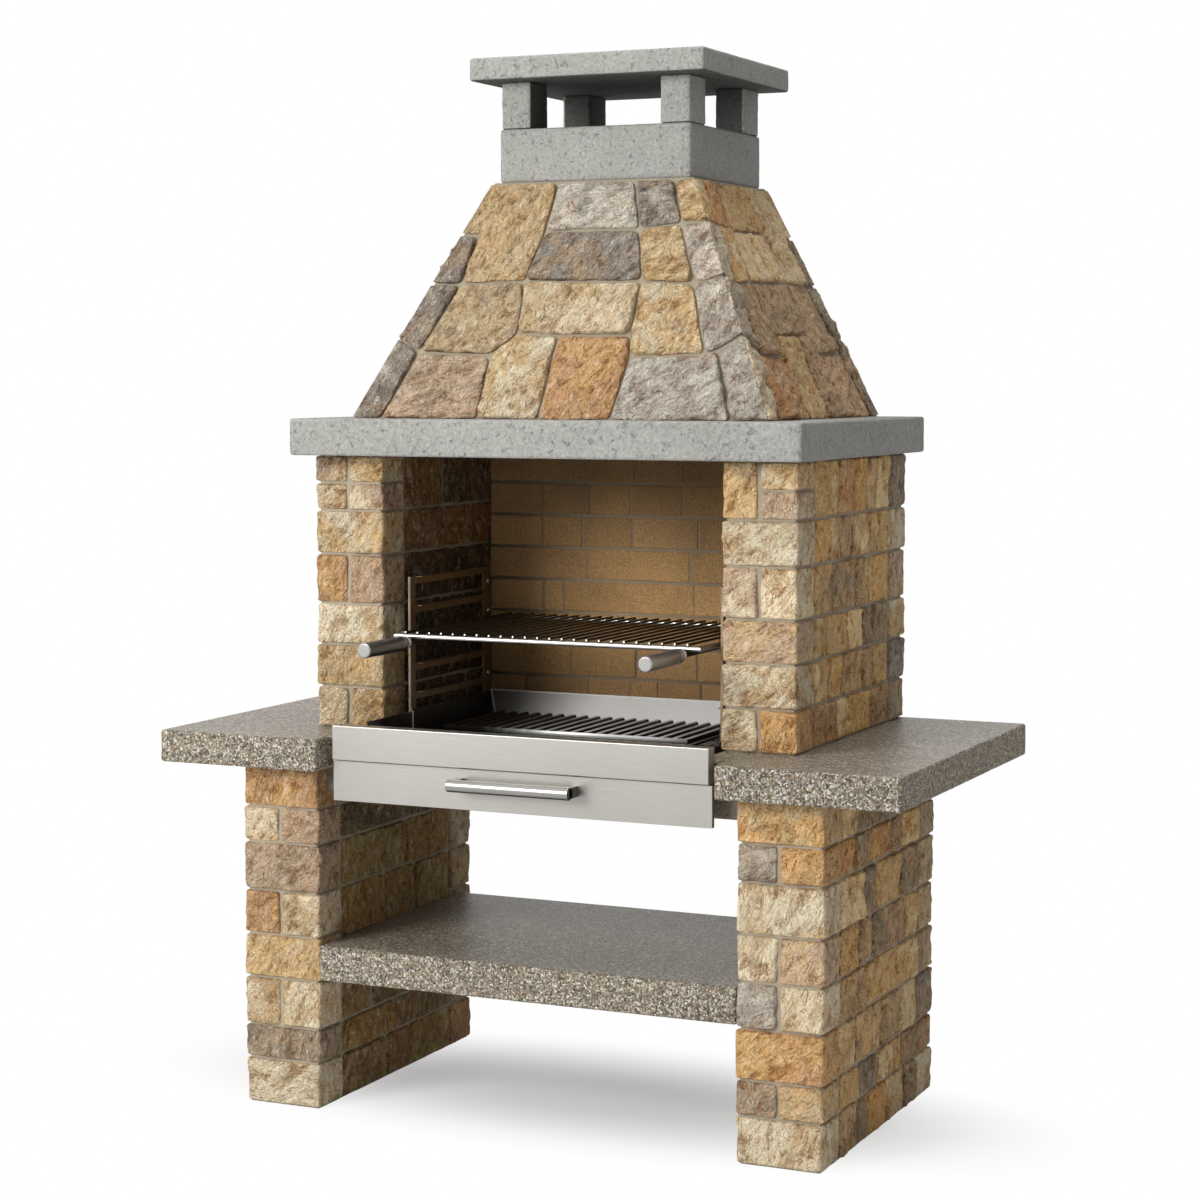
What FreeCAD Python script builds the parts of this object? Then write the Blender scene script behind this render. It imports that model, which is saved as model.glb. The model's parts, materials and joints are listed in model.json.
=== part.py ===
import FreeCAD, Part
import math
import operator
import os

import Sketcher
from FreeCAD import Placement, Rotation, Vector

# Masonry barbecue: two stone legs carry a terrazzo worktop, two stone piers on it flank an open fire
# chamber, and a concrete mantel, a stone-clad hood and a small chimney stand on the piers.
# A steel fire tray with grill racks sits in the worktop, over an ash drawer.
# Millimetres.  X runs across the front, Y from the front to the back, Z up.
# The origin is on the ground, under the middle of the barbecue.

SIZES = {
    # Legs, from the ground to the worktop, course by course
    "leg_course_1": 94, "leg_course_2": 70, "leg_course_3": 100, "leg_course_4": 90,
    "leg_course_5": 92, "leg_course_6": 100, "leg_course_7": 74, "leg_course_8": 87,
    "leg_thickness": 174, "leg_depth": 676, "leg_side_setback": 168, "leg_setback": 53,
    # Stonework
    "joint_gap": 9, "joint_recess": 8, "slip_thickness": 14, "stone_edge": 4, "quoin_length": 100,
    # Worktop and shelf
    "worktop_width": 1600, "worktop_depth": 836, "worktop_thickness": 66, "worktop_front": 436,
    "recess_width": 860, "recess_depth": 64, "opening_inset": 2, "rear_strip": 215, "slab_edge": 5,
    "shelf_rear_inset": 48, "shelf_thickness": 73, "shelf_bearing": 30, "seat_gap": 1,
    # Upper piers and fire chamber
    "pier_course_1": 86, "pier_course_2": 88, "pier_course_3": 85,
    "pier_course_4": 102, "pier_course_5": 90, "pier_course_6": 114,
    "pier_thickness": 155, "pier_depth": 656, "firebox_width": 748,
    "brick_length": 231, "brick_depth": 64, "brick_joint": 6.5, "brick_recess": 4, "brick_edge": 2,
    "rear_wall_recess": 10, "rear_wall_thickness": 95,
    # Mantel, hood and chimney
    "mantel_thickness": 75, "mantel_side_overhang": 29, "mantel_front_overhang": 60,
    "mantel_rear_overhang": 41, "throat_side_ledge": 44, "throat_depth": 366, "throat_setback": 150,
    "hood_side_setback": 98, "hood_setback": 88, "hood_rear_inset": 10, "hood_height": 484,
    "hood_top_width": 452, "hood_top_setback": 272, "hood_top_depth": 408,
    "hood_slip": 15, "hood_panel": 45, "hip_gap": 1,
    "collar_side_setback": 12, "collar_setback": 10, "collar_height": 110, "collar_wall": 62,
    "post_width": 66, "post_depth": 86, "post_height": 96, "post_inset": 3,
    "cap_overhang": 47, "cap_thickness": 47,
    # Drawer bearers and steel runners
    "bearer_height": 50, "bearer_length": 530, "bearer_setback": 87,
    "runner_width": 25, "runner_thickness": 3,
    # Fire tray
    "sheet": 2, "tray_side_gap": 2, "tray_rear_gap": 9, "tray_foot": 25, "tray_low_rim": 68, "tray_rim": 105,
    "tray_high_length": 366, "tray_floor_height": 39, "ember_gap": 19, "ember_foot_margin": 13,
    "apron_side_gap": 21, "apron_rear_gap": 7, "apron_height": 70, "apron_sill": 23, "apron_setback": 29,
    # Grill racks
    "rack_lap": 30, "rack_first_level": 34, "rack_pitch": 60, "rack_post": 22, "rack_rear_post": 36,
    "rack_flange": 6, "rung_height": 16, "ledge_width": 14,
    # Charcoal grate
    "charcoal_side_gap": 66, "charcoal_depth": 260, "charcoal_rail": 22, "charcoal_rail_thickness": 5,
    "charcoal_bar": 12, "charcoal_pitch": 28, "charcoal_foot": 14, "charcoal_foot_height": 17,
    "charcoal_setback": 257, "grate_bearing": 25, "running_gap": 0.3,
    # Cooking grate
    "grill_side_gap": 7, "grill_rear_gap": 20, "grill_setback": 160, "grill_rod": 11,
    "grill_bar": 5, "grill_pitch": 27, "arm_rod": 12, "arm_inset": 36,
    "grip_diameter": 31, "grip_length": 163, "grip_standoff": 25, "grip_wall": 4, "grip_bore_gap": 0.2,
    "grip_edge": 3, "ferrule_diameter": 23, "ferrule_length": 8,
    # Ash drawer
    "drawer_front_gap": 18, "drawer_front_height": 82, "drawer_front_depth": 12, "drawer_front_drop": 2,
    "drawer_front_setback": 40, "drawer_side_gap": 4, "pan_length": 524, "pan_height": 65,
    "handle_length": 280, "handle_diameter": 22, "handle_standoff": 27, "handle_drop": 29,
    "handle_post_width": 18, "handle_post_height": 18,
}

LEG_COURSES = 8
PIER_COURSES = 6
COURSES_UNDER_SHELF = 3
BRICK_COURSES = 8
RACK_LEVELS = 5
LEVELS_UNDER_GRILL = 2
BAR_SIDES = 8

# How each course is laid, from the bottom up.  On the ends of a pier a course is one stone (1), two side by
# side (2), one tall stone beside two low ones (3) or four small ones (4).  The sides give a count of stones.
LEFT_LEG_BOND = {"front": "11212121", "rear": "12121211", "outer": "43545345", "inner": "32323233"}
RIGHT_LEG_BOND = {"front": "12122121", "rear": "11212121", "outer": "54435454", "inner": "23323232"}
LEFT_PIER_BOND = {"front": "211214", "rear": "121121", "outer": "545465", "inner": "323233"}
RIGHT_PIER_BOND = {"front": "211213", "rear": "112112", "outer": "455466", "inner": "232332"}

# The hood's rubble facing.  Each junction of its joints is a share of a side's width, from its left hip, and
# a share of its height, in five levels from the foot (A) to the top (E).  A stone is the junctions round it.
HOOD_JUNCTIONS = {
    "A": ((0.00, 0.00), (0.07, 0.00), (0.31, 0.00), (0.46, 0.00), (0.63, 0.00), (0.91, 0.00), (1.00, 0.00)),
    "B": ((0.00, 0.34), (0.08, 0.28), (0.29, 0.27), (0.35, 0.36), (0.47, 0.35), (0.68, 0.35), (0.68, 0.26),
          (0.88, 0.27), (0.92, 0.29), (1.00, 0.35)),
    "C": ((0.00, 0.57), (0.10, 0.57), (0.32, 0.58), (0.72, 0.57), (0.89, 0.56), (1.00, 0.59)),
    "D": ((0.00, 0.78), (0.07, 0.78), (0.34, 0.79), (0.72, 0.79), (0.89, 0.81), (1.00, 0.82)),
    "E": ((0.00, 1.00), (0.33, 1.00), (0.71, 1.00), (0.90, 1.00), (1.00, 1.00)),
}
HOOD_STONES = (
    "A0 A1 B1 B0", "A1 A2 B2 B1", "A2 A3 B4 B3 B2", "A3 A4 B6 B5 B4", "A4 A5 B8 B7 B6", "A5 A6 B9 B8",
    "B0 B1 C1 C0", "B1 B2 B3 C2 C1", "B3 B4 B5 C3 C2", "B6 B7 C4 C3 B5", "B7 B8 B9 C5 C4",
    "C0 C1 D1 D0", "C1 C2 D2 E1 E0 D0 D1", "C2 C3 D3 D2", "C3 C4 D4 D3", "C4 C5 D5 D4",
    "D2 D3 E2 E1", "D3 D4 E3 E2", "D4 D5 E4 E3",
)

# Unevenness of the upright joints: the sway as a share of a stone, and its turn along and up the wall
BOND_SWAY, SWAY_ALONG, SWAY_UP = 0.2, 2.1, 1.3
END_JOINT = 0.48
HALF_BRICK = 0.5
SAME_LEVEL = 0.01

doc = FreeCAD.newDocument("MasonryBarbecue")
sheet = doc.addObject("Spreadsheet::Sheet", "Dims")
for row, (alias, length) in enumerate(SIZES.items(), start=1):
    sheet.set(f"A{row}", alias)
    sheet.set(f"B{row}", str(length))
    sheet.setAlias(f"B{row}", alias)
doc.recompute()


class Size:
    """A length that carries its number and the spreadsheet expression that gives it."""

    def __init__(self, text, number):
        self.text = text
        self.number = number

    def __float__(self):
        return self.number

    def __add__(self, other):
        return join(self, "+", other)

    def __radd__(self, other):
        return join(other, "+", self)

    def __sub__(self, other):
        return join(self, "-", other)

    def __rsub__(self, other):
        return join(other, "-", self)

    def __mul__(self, factor):
        return join(self, "*", factor)

    __rmul__ = __mul__

    def __truediv__(self, divisor):
        return join(self, "/", divisor)

    def __neg__(self):
        return join(0, "-", self)


SIGNS = {"+": operator.add, "-": operator.sub, "*": operator.mul, "/": operator.truediv}


def as_size(value):
    return value if isinstance(value, Size) else Size(repr(value), float(value))


def join(left, sign, right):
    left, right = as_size(left), as_size(right)
    return Size(f"({left.text} {sign} {right.text})", SIGNS[sign](left.number, right.number))


class Dimensions:
    """The spreadsheet's cells by name, each as a Size."""

    def __getattr__(self, alias):
        return Size(f"Dims.{alias}", float(sheet.get(alias)))


dim = Dimensions()
parts = []


def keep(obj, label):
    """Names an object as a finished sub-part."""
    obj.Label = label
    parts.append(obj)
    return obj


def bind(obj, field, value):
    obj.setExpression(field, as_size(value).text)


def place(obj, x, y, z):
    for axis, value in (("x", x), ("y", y), ("z", z)):
        bind(obj, f"Placement.Base.{axis}", value)
    return obj


def box(name, x, y, z):
    """A block between three pairs of limits."""
    block = doc.addObject("Part::Box", name)
    for field, (low, high) in (("Length", x), ("Width", y), ("Height", z)):
        bind(block, field, high - low)
    return place(block, x[0], y[0], z[0])


ALONG = {
    "x": Rotation(Vector(0, 1, 0), 90),
    "y": Rotation(Vector(1, 0, 0), -90),
    "z": Rotation(),
}


def rod(name, diameter, length, axis, x, y, z):
    """A round rod that starts at a point and runs along an axis."""
    shaft = doc.addObject("Part::Cylinder", name)
    shaft.Placement = Placement(Vector(), ALONG[axis])
    bind(shaft, "Radius", diameter / 2)
    bind(shaft, "Height", length)
    return place(shaft, x, y, z)


def bar(name, across_flats, length, x, y, z):
    """An eight-sided bar that lies on one of its flats and runs along Y."""
    prism = doc.addObject("Part::Prism", name)
    prism.Polygon = BAR_SIDES
    half_side = 180 / BAR_SIDES
    prism.Placement = Placement(Vector(), ALONG["y"].multiply(Rotation(Vector(0, 0, 1), half_side)))
    bind(prism, "Circumradius", across_flats / (2 * math.cos(math.radians(half_side))))
    bind(prism, "Height", length)
    return place(prism, x, y, z)


def cut(name, base, tool):
    result = doc.addObject("Part::Cut", name)
    result.Base = base
    result.Tool = tool
    return result


def group(name, pieces):
    bundle = doc.addObject("Part::Compound", name)
    bundle.Links = pieces
    return bundle


def new_body(name, x, y, z):
    return place(doc.addObject("PartDesign::Body", name), x, y, z)


def new_sketch(body, name, role, lift=0):
    """An empty sketch on one of the body's own planes, raised along the plane's normal."""
    sketch = body.newObject("Sketcher::SketchObject", name)
    plane = [item for item in body.Origin.OriginFeatures if item.Role == role][0]
    sketch.AttachmentSupport = (plane, [""])
    sketch.MapMode = "FlatFace"
    bind(sketch, "AttachmentOffset.Base.z", lift)
    return sketch


def pin(sketch, edge, along, value):
    """Ties the start of a sketch line to the sketch's origin, along X or along Y."""
    axis_line = -2 if along == "X" else -1
    if float(value) == 0:
        sketch.addConstraint(Sketcher.Constraint("PointOnObject", edge, 1, axis_line))
        return
    index = sketch.addConstraint(Sketcher.Constraint(f"Distance{along}", -1, 1, edge, 1, float(value)))
    bind(sketch, f"Constraints[{index}]", value)


def draw_loops(sketch, *loops):
    """Closed outlines with straight sides, whose corners are pairs of sizes."""
    for loop in loops:
        first = sketch.GeometryCount
        count = len(loop)
        for i, corner in enumerate(loop):
            start = Vector(float(corner[0]), float(corner[1]), 0)
            after = loop[(i + 1) % count]
            sketch.addGeometry(Part.LineSegment(start, Vector(float(after[0]), float(after[1]), 0)), False)
        for i in range(count):
            sketch.addConstraint(Sketcher.Constraint("Coincident", first + i, 2, first + (i + 1) % count, 1))
        for i, (across, up) in enumerate(loop):
            pin(sketch, first + i, "X", across)
            pin(sketch, first + i, "Y", up)
    return sketch


def pad(body, name, sketch, length):
    feature = body.newObject("PartDesign::Pad", name)
    feature.Profile = sketch
    bind(feature, "Length", length)
    return feature


def rectangle(x0, x1, y0, y1):
    return ((x0, y0), (x1, y0), (x1, y1), (x0, y1))


def lies_on(edge, sides):
    """Whether an edge lies on one of some flat sides, each given as an axis and a level."""
    ends = [vertex.Point for vertex in edge.Vertexes]
    return any(all(abs(end[axis] - level) < SAME_LEVEL for end in ends) for axis, level in sides)


def bevel_outer_edges(body, name, feature, width, depth, setback):
    """Bevels the edges that lie on a slab's four outer sides."""
    doc.recompute()
    sides = ((0, 0.0), (0, float(width)), (1, 0.0), (1, float(depth)))
    edges = enumerate(feature.Shape.Edges, start=1)
    names = [f"Edge{index}" for index, edge in edges if lies_on(edge, sides)]
    bevel = body.newObject("PartDesign::Chamfer", name)
    bevel.Base = (feature, names)
    bind(bevel, "Size", setback)


def slab(label, x, y, z, thickness, width, depth, *loops):
    """A cast slab: an outline with or without a hole, padded up and bevelled along its outer edges."""
    body = new_body(label, x, y, z)
    outline = draw_loops(new_sketch(body, f"{label}_outline", "XY_Plane"), *loops)
    plate = pad(body, f"{label}_plate", outline, thickness)
    bevel_outer_edges(body, f"{label}_edges", plate, width, depth, dim.slab_edge)
    return keep(body, label)


def feature(label, solids):
    """A sub-part whose solids are worked out in loops."""
    obj = doc.addObject("Part::Feature", label)
    obj.Shape = solids[0] if len(solids) == 1 else Part.makeCompound(solids)
    return keep(obj, label)


# Heights and places that follow from the driving sizes

def course_tops(base, prefix, count):
    """The level of every bed from the base to the top of the last course."""
    levels = [as_size(base)]
    for number in range(1, count + 1):
        levels.append(levels[-1] + getattr(dim, f"{prefix}_{number}"))
    return levels


leg_levels = course_tops(0, "leg_course", LEG_COURSES)
leg_top = leg_levels[-1]
worktop_top = leg_top + dim.worktop_thickness
pier_levels = course_tops(worktop_top, "pier_course", PIER_COURSES)
pier_top = pier_levels[-1]
mantel_top = pier_top + dim.mantel_thickness
hood_top = mantel_top + dim.hood_height
collar_top = hood_top + dim.collar_height
posts_top = collar_top + dim.post_height

worktop_front = -dim.worktop_front
worktop_rear = worktop_front + dim.worktop_depth
leg_front = worktop_front + dim.leg_setback
leg_rear = leg_front + dim.leg_depth
leg_outer = dim.worktop_width / 2 - dim.leg_side_setback
leg_inner = leg_outer - dim.leg_thickness
pier_front = worktop_rear - dim.pier_depth
pier_inner = dim.firebox_width / 2
pier_outer = pier_inner + dim.pier_thickness
lining_back = worktop_rear - dim.rear_wall_recess - dim.rear_wall_thickness
lining_face = lining_back - dim.brick_depth
mantel_half = pier_outer + dim.mantel_side_overhang
mantel_front = pier_front - dim.mantel_front_overhang
mantel_rear = worktop_rear + dim.mantel_rear_overhang
hood_front = mantel_front + dim.hood_setback
hood_rear = mantel_rear - dim.hood_rear_inset
hood_top_front = mantel_front + dim.hood_top_setback
hood_top_rear = hood_top_front + dim.hood_top_depth
hood_half = mantel_half - dim.hood_side_setback
collar_front = hood_top_front + dim.collar_setback
collar_rear = hood_top_rear - dim.collar_setback

shelf_underside = leg_levels[COURSES_UNDER_SHELF] + dim.joint_gap / 2
shelf_top = shelf_underside + dim.shelf_thickness
shelf_depth = dim.leg_depth - dim.shelf_rear_inset
lug_start = dim.quoin_length + dim.joint_gap
lug_end = dim.leg_depth - dim.quoin_length - dim.joint_gap

# The tray stands with its feet on the bearers, level with the worktop's underside.
opening_half = dim.firebox_width / 2 - dim.opening_inset
opening_rear = worktop_rear - dim.rear_strip
tray_outer = opening_half - dim.tray_side_gap - dim.tray_foot
tray_inner = tray_outer - dim.sheet
apron_front = worktop_front + dim.apron_setback
apron_rear = worktop_front + dim.recess_depth - dim.apron_rear_gap
tray_front = apron_rear + dim.seat_gap
tray_rear = opening_rear - dim.tray_rear_gap
tray_length = tray_rear - tray_front
charcoal_half = tray_inner - dim.charcoal_side_gap
charcoal_front = worktop_front + dim.charcoal_setback
charcoal_rear = charcoal_front + dim.charcoal_depth
tray_floor = leg_top + dim.tray_floor_height
tray_low_rim = leg_top + dim.tray_low_rim
tray_rim = leg_top + dim.tray_rim
apron_sill = leg_top + dim.apron_sill
apron_top = apron_sill + dim.apron_height
bearer_front = worktop_front + dim.bearer_setback
bearer_rear = bearer_front + dim.bearer_length
bearer_bottom = leg_top - dim.bearer_height
bearer_inner = tray_outer + dim.sheet

rack_front = tray_rear - dim.tray_high_length
rack_bottom = tray_rim - dim.rack_lap
rack_levels = [tray_rim + dim.rack_first_level + dim.rack_pitch * level for level in range(RACK_LEVELS)]


# Stonework

def loft_rings(rings):
    """A solid with flat faces through rings of points that have the same number of corners."""
    faces = [Part.Face(Part.makePolygon(ring + ring[:1])) for ring in (rings[0], rings[-1])]
    for near, far in zip(rings, rings[1:]):
        for i in range(len(near)):
            j = (i + 1) % len(near)
            faces.append(Part.Face(Part.makePolygon([near[i], near[j], far[j], far[i], near[i]])))
    solid = Part.makeSolid(Part.makeShell(faces))
    if solid.Volume < 0:
        solid.reverse()
    return solid


def inset_outline(corners, distances):
    """Moves each side of a flat outline inwards by its own distance."""
    count = len(corners)
    area = sum(a[0] * b[1] - b[0] * a[1] for a, b in zip(corners, corners[1:] + corners[:1]))
    turn = 1 if area > 0 else -1
    sides = []
    for i in range(count):
        ax, ay = corners[i]
        bx, by = corners[(i + 1) % count]
        length = math.hypot(bx - ax, by - ay)
        dx, dy = (bx - ax) / length, (by - ay) / length
        sides.append((ax - turn * dy * distances[i], ay + turn * dx * distances[i], dx, dy))
    moved = []
    for i in range(count):
        px, py, pdx, pdy = sides[i - 1]
        qx, qy, qdx, qdy = sides[i]
        t = ((qx - px) * qdy - (qy - py) * qdx) / (pdx * qdy - pdy * qdx)
        moved.append((px + pdx * t, py + pdy * t))
    return moved


class Facing:
    """A wall face that carries stones: where it starts, which way runs across it and which way is inwards."""

    def __init__(self, start, across, inward, lean=0.0):
        self.start = start
        self.across = across
        self.inward = inward
        self.lean = lean

    def point(self, along, height, depth):
        inwards = depth + self.lean * height
        return self.start + self.across * along + self.inward * inwards + Vector(0, 0, height)


def cut_stone(facing, corners, thickness, joint, edge, hips=()):
    """A stone slip with bevelled edges.  Sides on a hip are mitred, the others leave half a joint."""
    hip_shares = []
    for i, (along, height) in enumerate(corners):
        next_along, next_height = corners[(i + 1) % len(corners)]
        hip_shares.append(abs(next_height - height) / math.hypot(next_along - along, next_height - height))
    rings = []
    for depth, setback in ((0.0, joint / 2 + edge), (edge, joint / 2), (thickness, joint / 2)):
        distances = [setback] * len(corners)
        for side in hips:
            distances[side] = float(dim.hip_gap) / 2 + depth * hip_shares[side]
        rings.append([facing.point(a, z, depth) for a, z in inset_outline(corners, distances)])
    return loft_rings(rings)


def straight_block(x, y, z):
    return Part.makeBox(x[1] - x[0], y[1] - y[0], z[1] - z[0], Vector(x[0], y[0], z[0]))


def bevelled_block(x, y, z, shown, edge):
    """A block whose shown sides, given as pairs of an axis and a level, have bevelled edges."""
    block = straight_block(x, y, z)
    return block.makeChamfer(edge, [item for item in block.Edges if lies_on(item, shown)])


def sway_joints(low, high, count, course):
    """Joint positions along a course, spread unevenly so that they don't line up with the course below."""
    pitch = (high - low) / count
    joints = [low]
    for i in range(1, count):
        joints.append(low + pitch * (i + BOND_SWAY * math.sin(SWAY_ALONG * i + SWAY_UP * course)))
    return joints + [high]


def end_stones(code, x, z):
    """The cells that a course's end stones fill, as pairs of limits across and up."""
    middle = x[0] + (x[1] - x[0]) * END_JOINT
    half = (z[0] + z[1]) / 2
    left, right = (x[0], middle), (middle, x[1])
    low, high = (z[0], half), (half, z[1])
    return {
        "1": [(x, z)],
        "2": [(left, z), (right, z)],
        "3": [(left, z), (right, low), (right, high)],
        "4": [(left, low), (right, low), (left, high), (right, high)],
    }[code]


def lay_pier(name, x, y, levels, bond, outer_left, skip_course=None, pocket=None):
    """A pier: a mortar core with its bed joints, the corner stones at both ends and slips on both sides."""
    gap = float(dim.joint_gap)
    edge = float(dim.stone_edge)
    slip = float(dim.slip_thickness)
    quoin = float(dim.quoin_length)
    recess = float(dim.joint_recess)
    x = [float(value) for value in x]
    y = [float(value) for value in y]
    levels = [float(level) for level in levels]
    core_x = (x[0] + slip, x[1] - slip)
    core_y = (y[0] + quoin - gap / 2, y[1] - quoin + gap / 2)
    beds_y = (y[0] + recess, y[1] - recess)

    core = straight_block(core_x, core_y, (levels[0], levels[-1]))
    mortar = []
    for level in levels:
        bed = (max(level - gap / 2, levels[0]), min(level + gap / 2, levels[-1]))
        mortar.append(straight_block(core_x, beds_y, bed))

    corner_stones = []
    for end, shown_y, inner_y, mortar_y in (
        ("front", y[0], core_y[0], beds_y[0]),
        ("rear", y[1], core_y[1], beds_y[1]),
    ):
        limits_y = sorted((shown_y, inner_y))
        mortar_limits = sorted((mortar_y, inner_y))
        for course, code in enumerate(bond[end]):
            course_z = (levels[course], levels[course + 1])
            cells = end_stones(code, tuple(x), course_z)
            for cell_x, cell_z in cells:
                stone_x = (
                    cell_x[0] if cell_x[0] == x[0] else cell_x[0] + gap / 2,
                    cell_x[1] if cell_x[1] == x[1] else cell_x[1] - gap / 2,
                )
                stone_z = (cell_z[0] + gap / 2, cell_z[1] - gap / 2)
                shown = [(1, shown_y)] + [(0, side) for side in x if side in stone_x]
                corner_stones.append(bevelled_block(stone_x, limits_y, stone_z, shown, edge))
                if cell_x[1] != x[1]:
                    joint_x = (cell_x[1] - gap / 2, cell_x[1] + gap / 2)
                    mortar.append(straight_block(joint_x, mortar_limits, course_z))
                if cell_z[1] != levels[course + 1]:
                    bed_x = (max(cell_x[0], core_x[0]), min(cell_x[1], core_x[1]))
                    bed_z = (cell_z[1] - gap / 2, cell_z[1] + gap / 2)
                    mortar.append(straight_block(bed_x, mortar_limits, bed_z))
    core = core.fuse(mortar).removeSplitter()
    if pocket is not None:
        core = core.cut(pocket).removeSplitter()

    side_stones = []
    left_counts, right_counts = bond["inner"], bond["outer"]
    if outer_left:
        left_counts, right_counts = right_counts, left_counts
    for side_x, inward, counts in ((x[0], 1, left_counts), (x[1], -1, right_counts)):
        facing = Facing(Vector(side_x, 0, 0), Vector(0, 1, 0), Vector(inward, 0, 0))
        for course, count in enumerate(counts):
            if counts is bond["inner"] and course == skip_course:
                continue
            joints = sway_joints(y[0] + quoin, y[1] - quoin, int(count), course)
            for low, high in zip(joints, joints[1:]):
                z0, z1 = levels[course], levels[course + 1]
                corners = [(low, z0), (high, z0), (high, z1), (low, z1)]
                side_stones.append(cut_stone(facing, corners, slip, gap, edge))
    feature(f"{name}_core", [core])
    feature(f"{name}_quoins", corner_stones)
    feature(f"{name}_side_stones", side_stones)


def shelf_pocket(side):
    """The slot in a leg's core that the shelf's lug is built into, on the left (-1) or right (1)."""
    face = float(leg_inner) * side
    depth = face + (float(dim.shelf_bearing) + float(dim.seat_gap)) * side
    gap = float(dim.seat_gap)
    limits_y = (float(leg_front + lug_start) - gap, float(leg_front + lug_end) + gap)
    limits_z = (float(shelf_underside), float(shelf_top) + gap)
    return straight_block(sorted((face, depth)), limits_y, limits_z)


lay_pier("left_leg", (-leg_outer, -leg_inner), (leg_front, leg_rear), leg_levels, LEFT_LEG_BOND, True,
         COURSES_UNDER_SHELF, shelf_pocket(-1))
lay_pier("right_leg", (leg_inner, leg_outer), (leg_front, leg_rear), leg_levels, RIGHT_LEG_BOND, False,
         COURSES_UNDER_SHELF, shelf_pocket(1))
lay_pier("left_pier", (-pier_outer, -pier_inner), (pier_front, worktop_rear), pier_levels, LEFT_PIER_BOND,
         True)
lay_pier("right_pier", (pier_inner, pier_outer), (pier_front, worktop_rear), pier_levels, RIGHT_PIER_BOND,
         False)


# Storage shelf, built into the legs by a lug at each end

def build_shelf():
    bearing = dim.shelf_bearing
    width = leg_inner * 2 - dim.seat_gap * 2
    far = bearing + width
    full = bearing * 2 + width
    loop = (
        (bearing, 0), (far, 0), (far, lug_start), (full, lug_start), (full, lug_end), (far, lug_end),
        (far, shelf_depth), (bearing, shelf_depth), (bearing, lug_end), (0, lug_end),
        (0, lug_start), (bearing, lug_start),
    )
    slab("storage_shelf", -(full / 2), leg_front, shelf_underside, dim.shelf_thickness, full, shelf_depth,
         loop)


build_shelf()


# Worktop: a slab with a wide shallow recess for the steel front and an opening for the fire tray

def build_worktop():
    width, depth = dim.worktop_width, dim.worktop_depth
    recess_left = (width - dim.recess_width) / 2
    recess_right = (width + dim.recess_width) / 2
    open_left = width / 2 - opening_half
    open_right = width / 2 + opening_half
    open_rear = depth - dim.rear_strip
    loop = (
        (0, 0), (recess_left, 0), (recess_left, dim.recess_depth), (open_left, dim.recess_depth),
        (open_left, open_rear), (open_right, open_rear), (open_right, dim.recess_depth),
        (recess_right, dim.recess_depth), (recess_right, 0), (width, 0), (width, depth), (0, depth),
    )
    slab("worktop_slab", -(width / 2), worktop_front, leg_top, dim.worktop_thickness, width, depth, loop)


build_worktop()


# Firebrick lining in running bond, and the plain wall behind it

def build_lining():
    joint = float(dim.brick_joint)
    half_width = float(pier_inner)
    face, back = float(lining_face), float(lining_back)
    bottom = float(worktop_top)
    pitch_z = (float(pier_top) - bottom) / BRICK_COURSES
    pitch_x = float(dim.brick_length) + joint
    bricks, mortar = [], []
    mortar_y = (face + float(dim.brick_recess), back)
    for course in range(BRICK_COURSES + 1):
        level = bottom + pitch_z * course
        bed = (max(level - joint / 2, bottom), min(level + joint / 2, float(pier_top)))
        mortar.append(straight_block((-half_width, half_width), mortar_y, bed))
    for course in range(BRICK_COURSES):
        stone_z = (bottom + pitch_z * course + joint / 2, bottom + pitch_z * (course + 1) - joint / 2)
        joints = [-half_width]
        next_joint = -half_width + pitch_x * (HALF_BRICK if course % 2 else 1.0)
        while next_joint < half_width - joint * 2:
            joints.append(next_joint)
            next_joint += pitch_x
        joints.append(half_width)
        for left, right in zip(joints, joints[1:]):
            stone_x = (left if left == -half_width else left + joint / 2,
                       right if right == half_width else right - joint / 2)
            bricks.append(bevelled_block(stone_x, (face, back), stone_z, [(1, face)], float(dim.brick_edge)))
        for level in joints[1:-1]:
            mortar.append(straight_block((level - joint / 2, level + joint / 2), mortar_y, stone_z))
    feature("firebricks", bricks)
    feature("firebrick_mortar", mortar)


build_lining()
keep(box("rear_wall", (-pier_inner, pier_inner), (lining_back, worktop_rear - dim.rear_wall_recess),
         (worktop_top, pier_top)), "rear_wall")


# Mantel slab with the throat that leads the smoke into the hood

def build_mantel():
    width = mantel_half * 2
    depth = mantel_rear - mantel_front
    throat_half = pier_inner - dim.throat_side_ledge
    left = mantel_half - throat_half
    right = mantel_half + throat_half
    rear = dim.throat_setback + dim.throat_depth
    slab("mantel_slab", -mantel_half, mantel_front, pier_top, dim.mantel_thickness, width, depth,
         rectangle(0, width, 0, depth), rectangle(left, right, dim.throat_setback, rear))


build_mantel()


# Hood: four mitred concrete panels with stone slips

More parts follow.
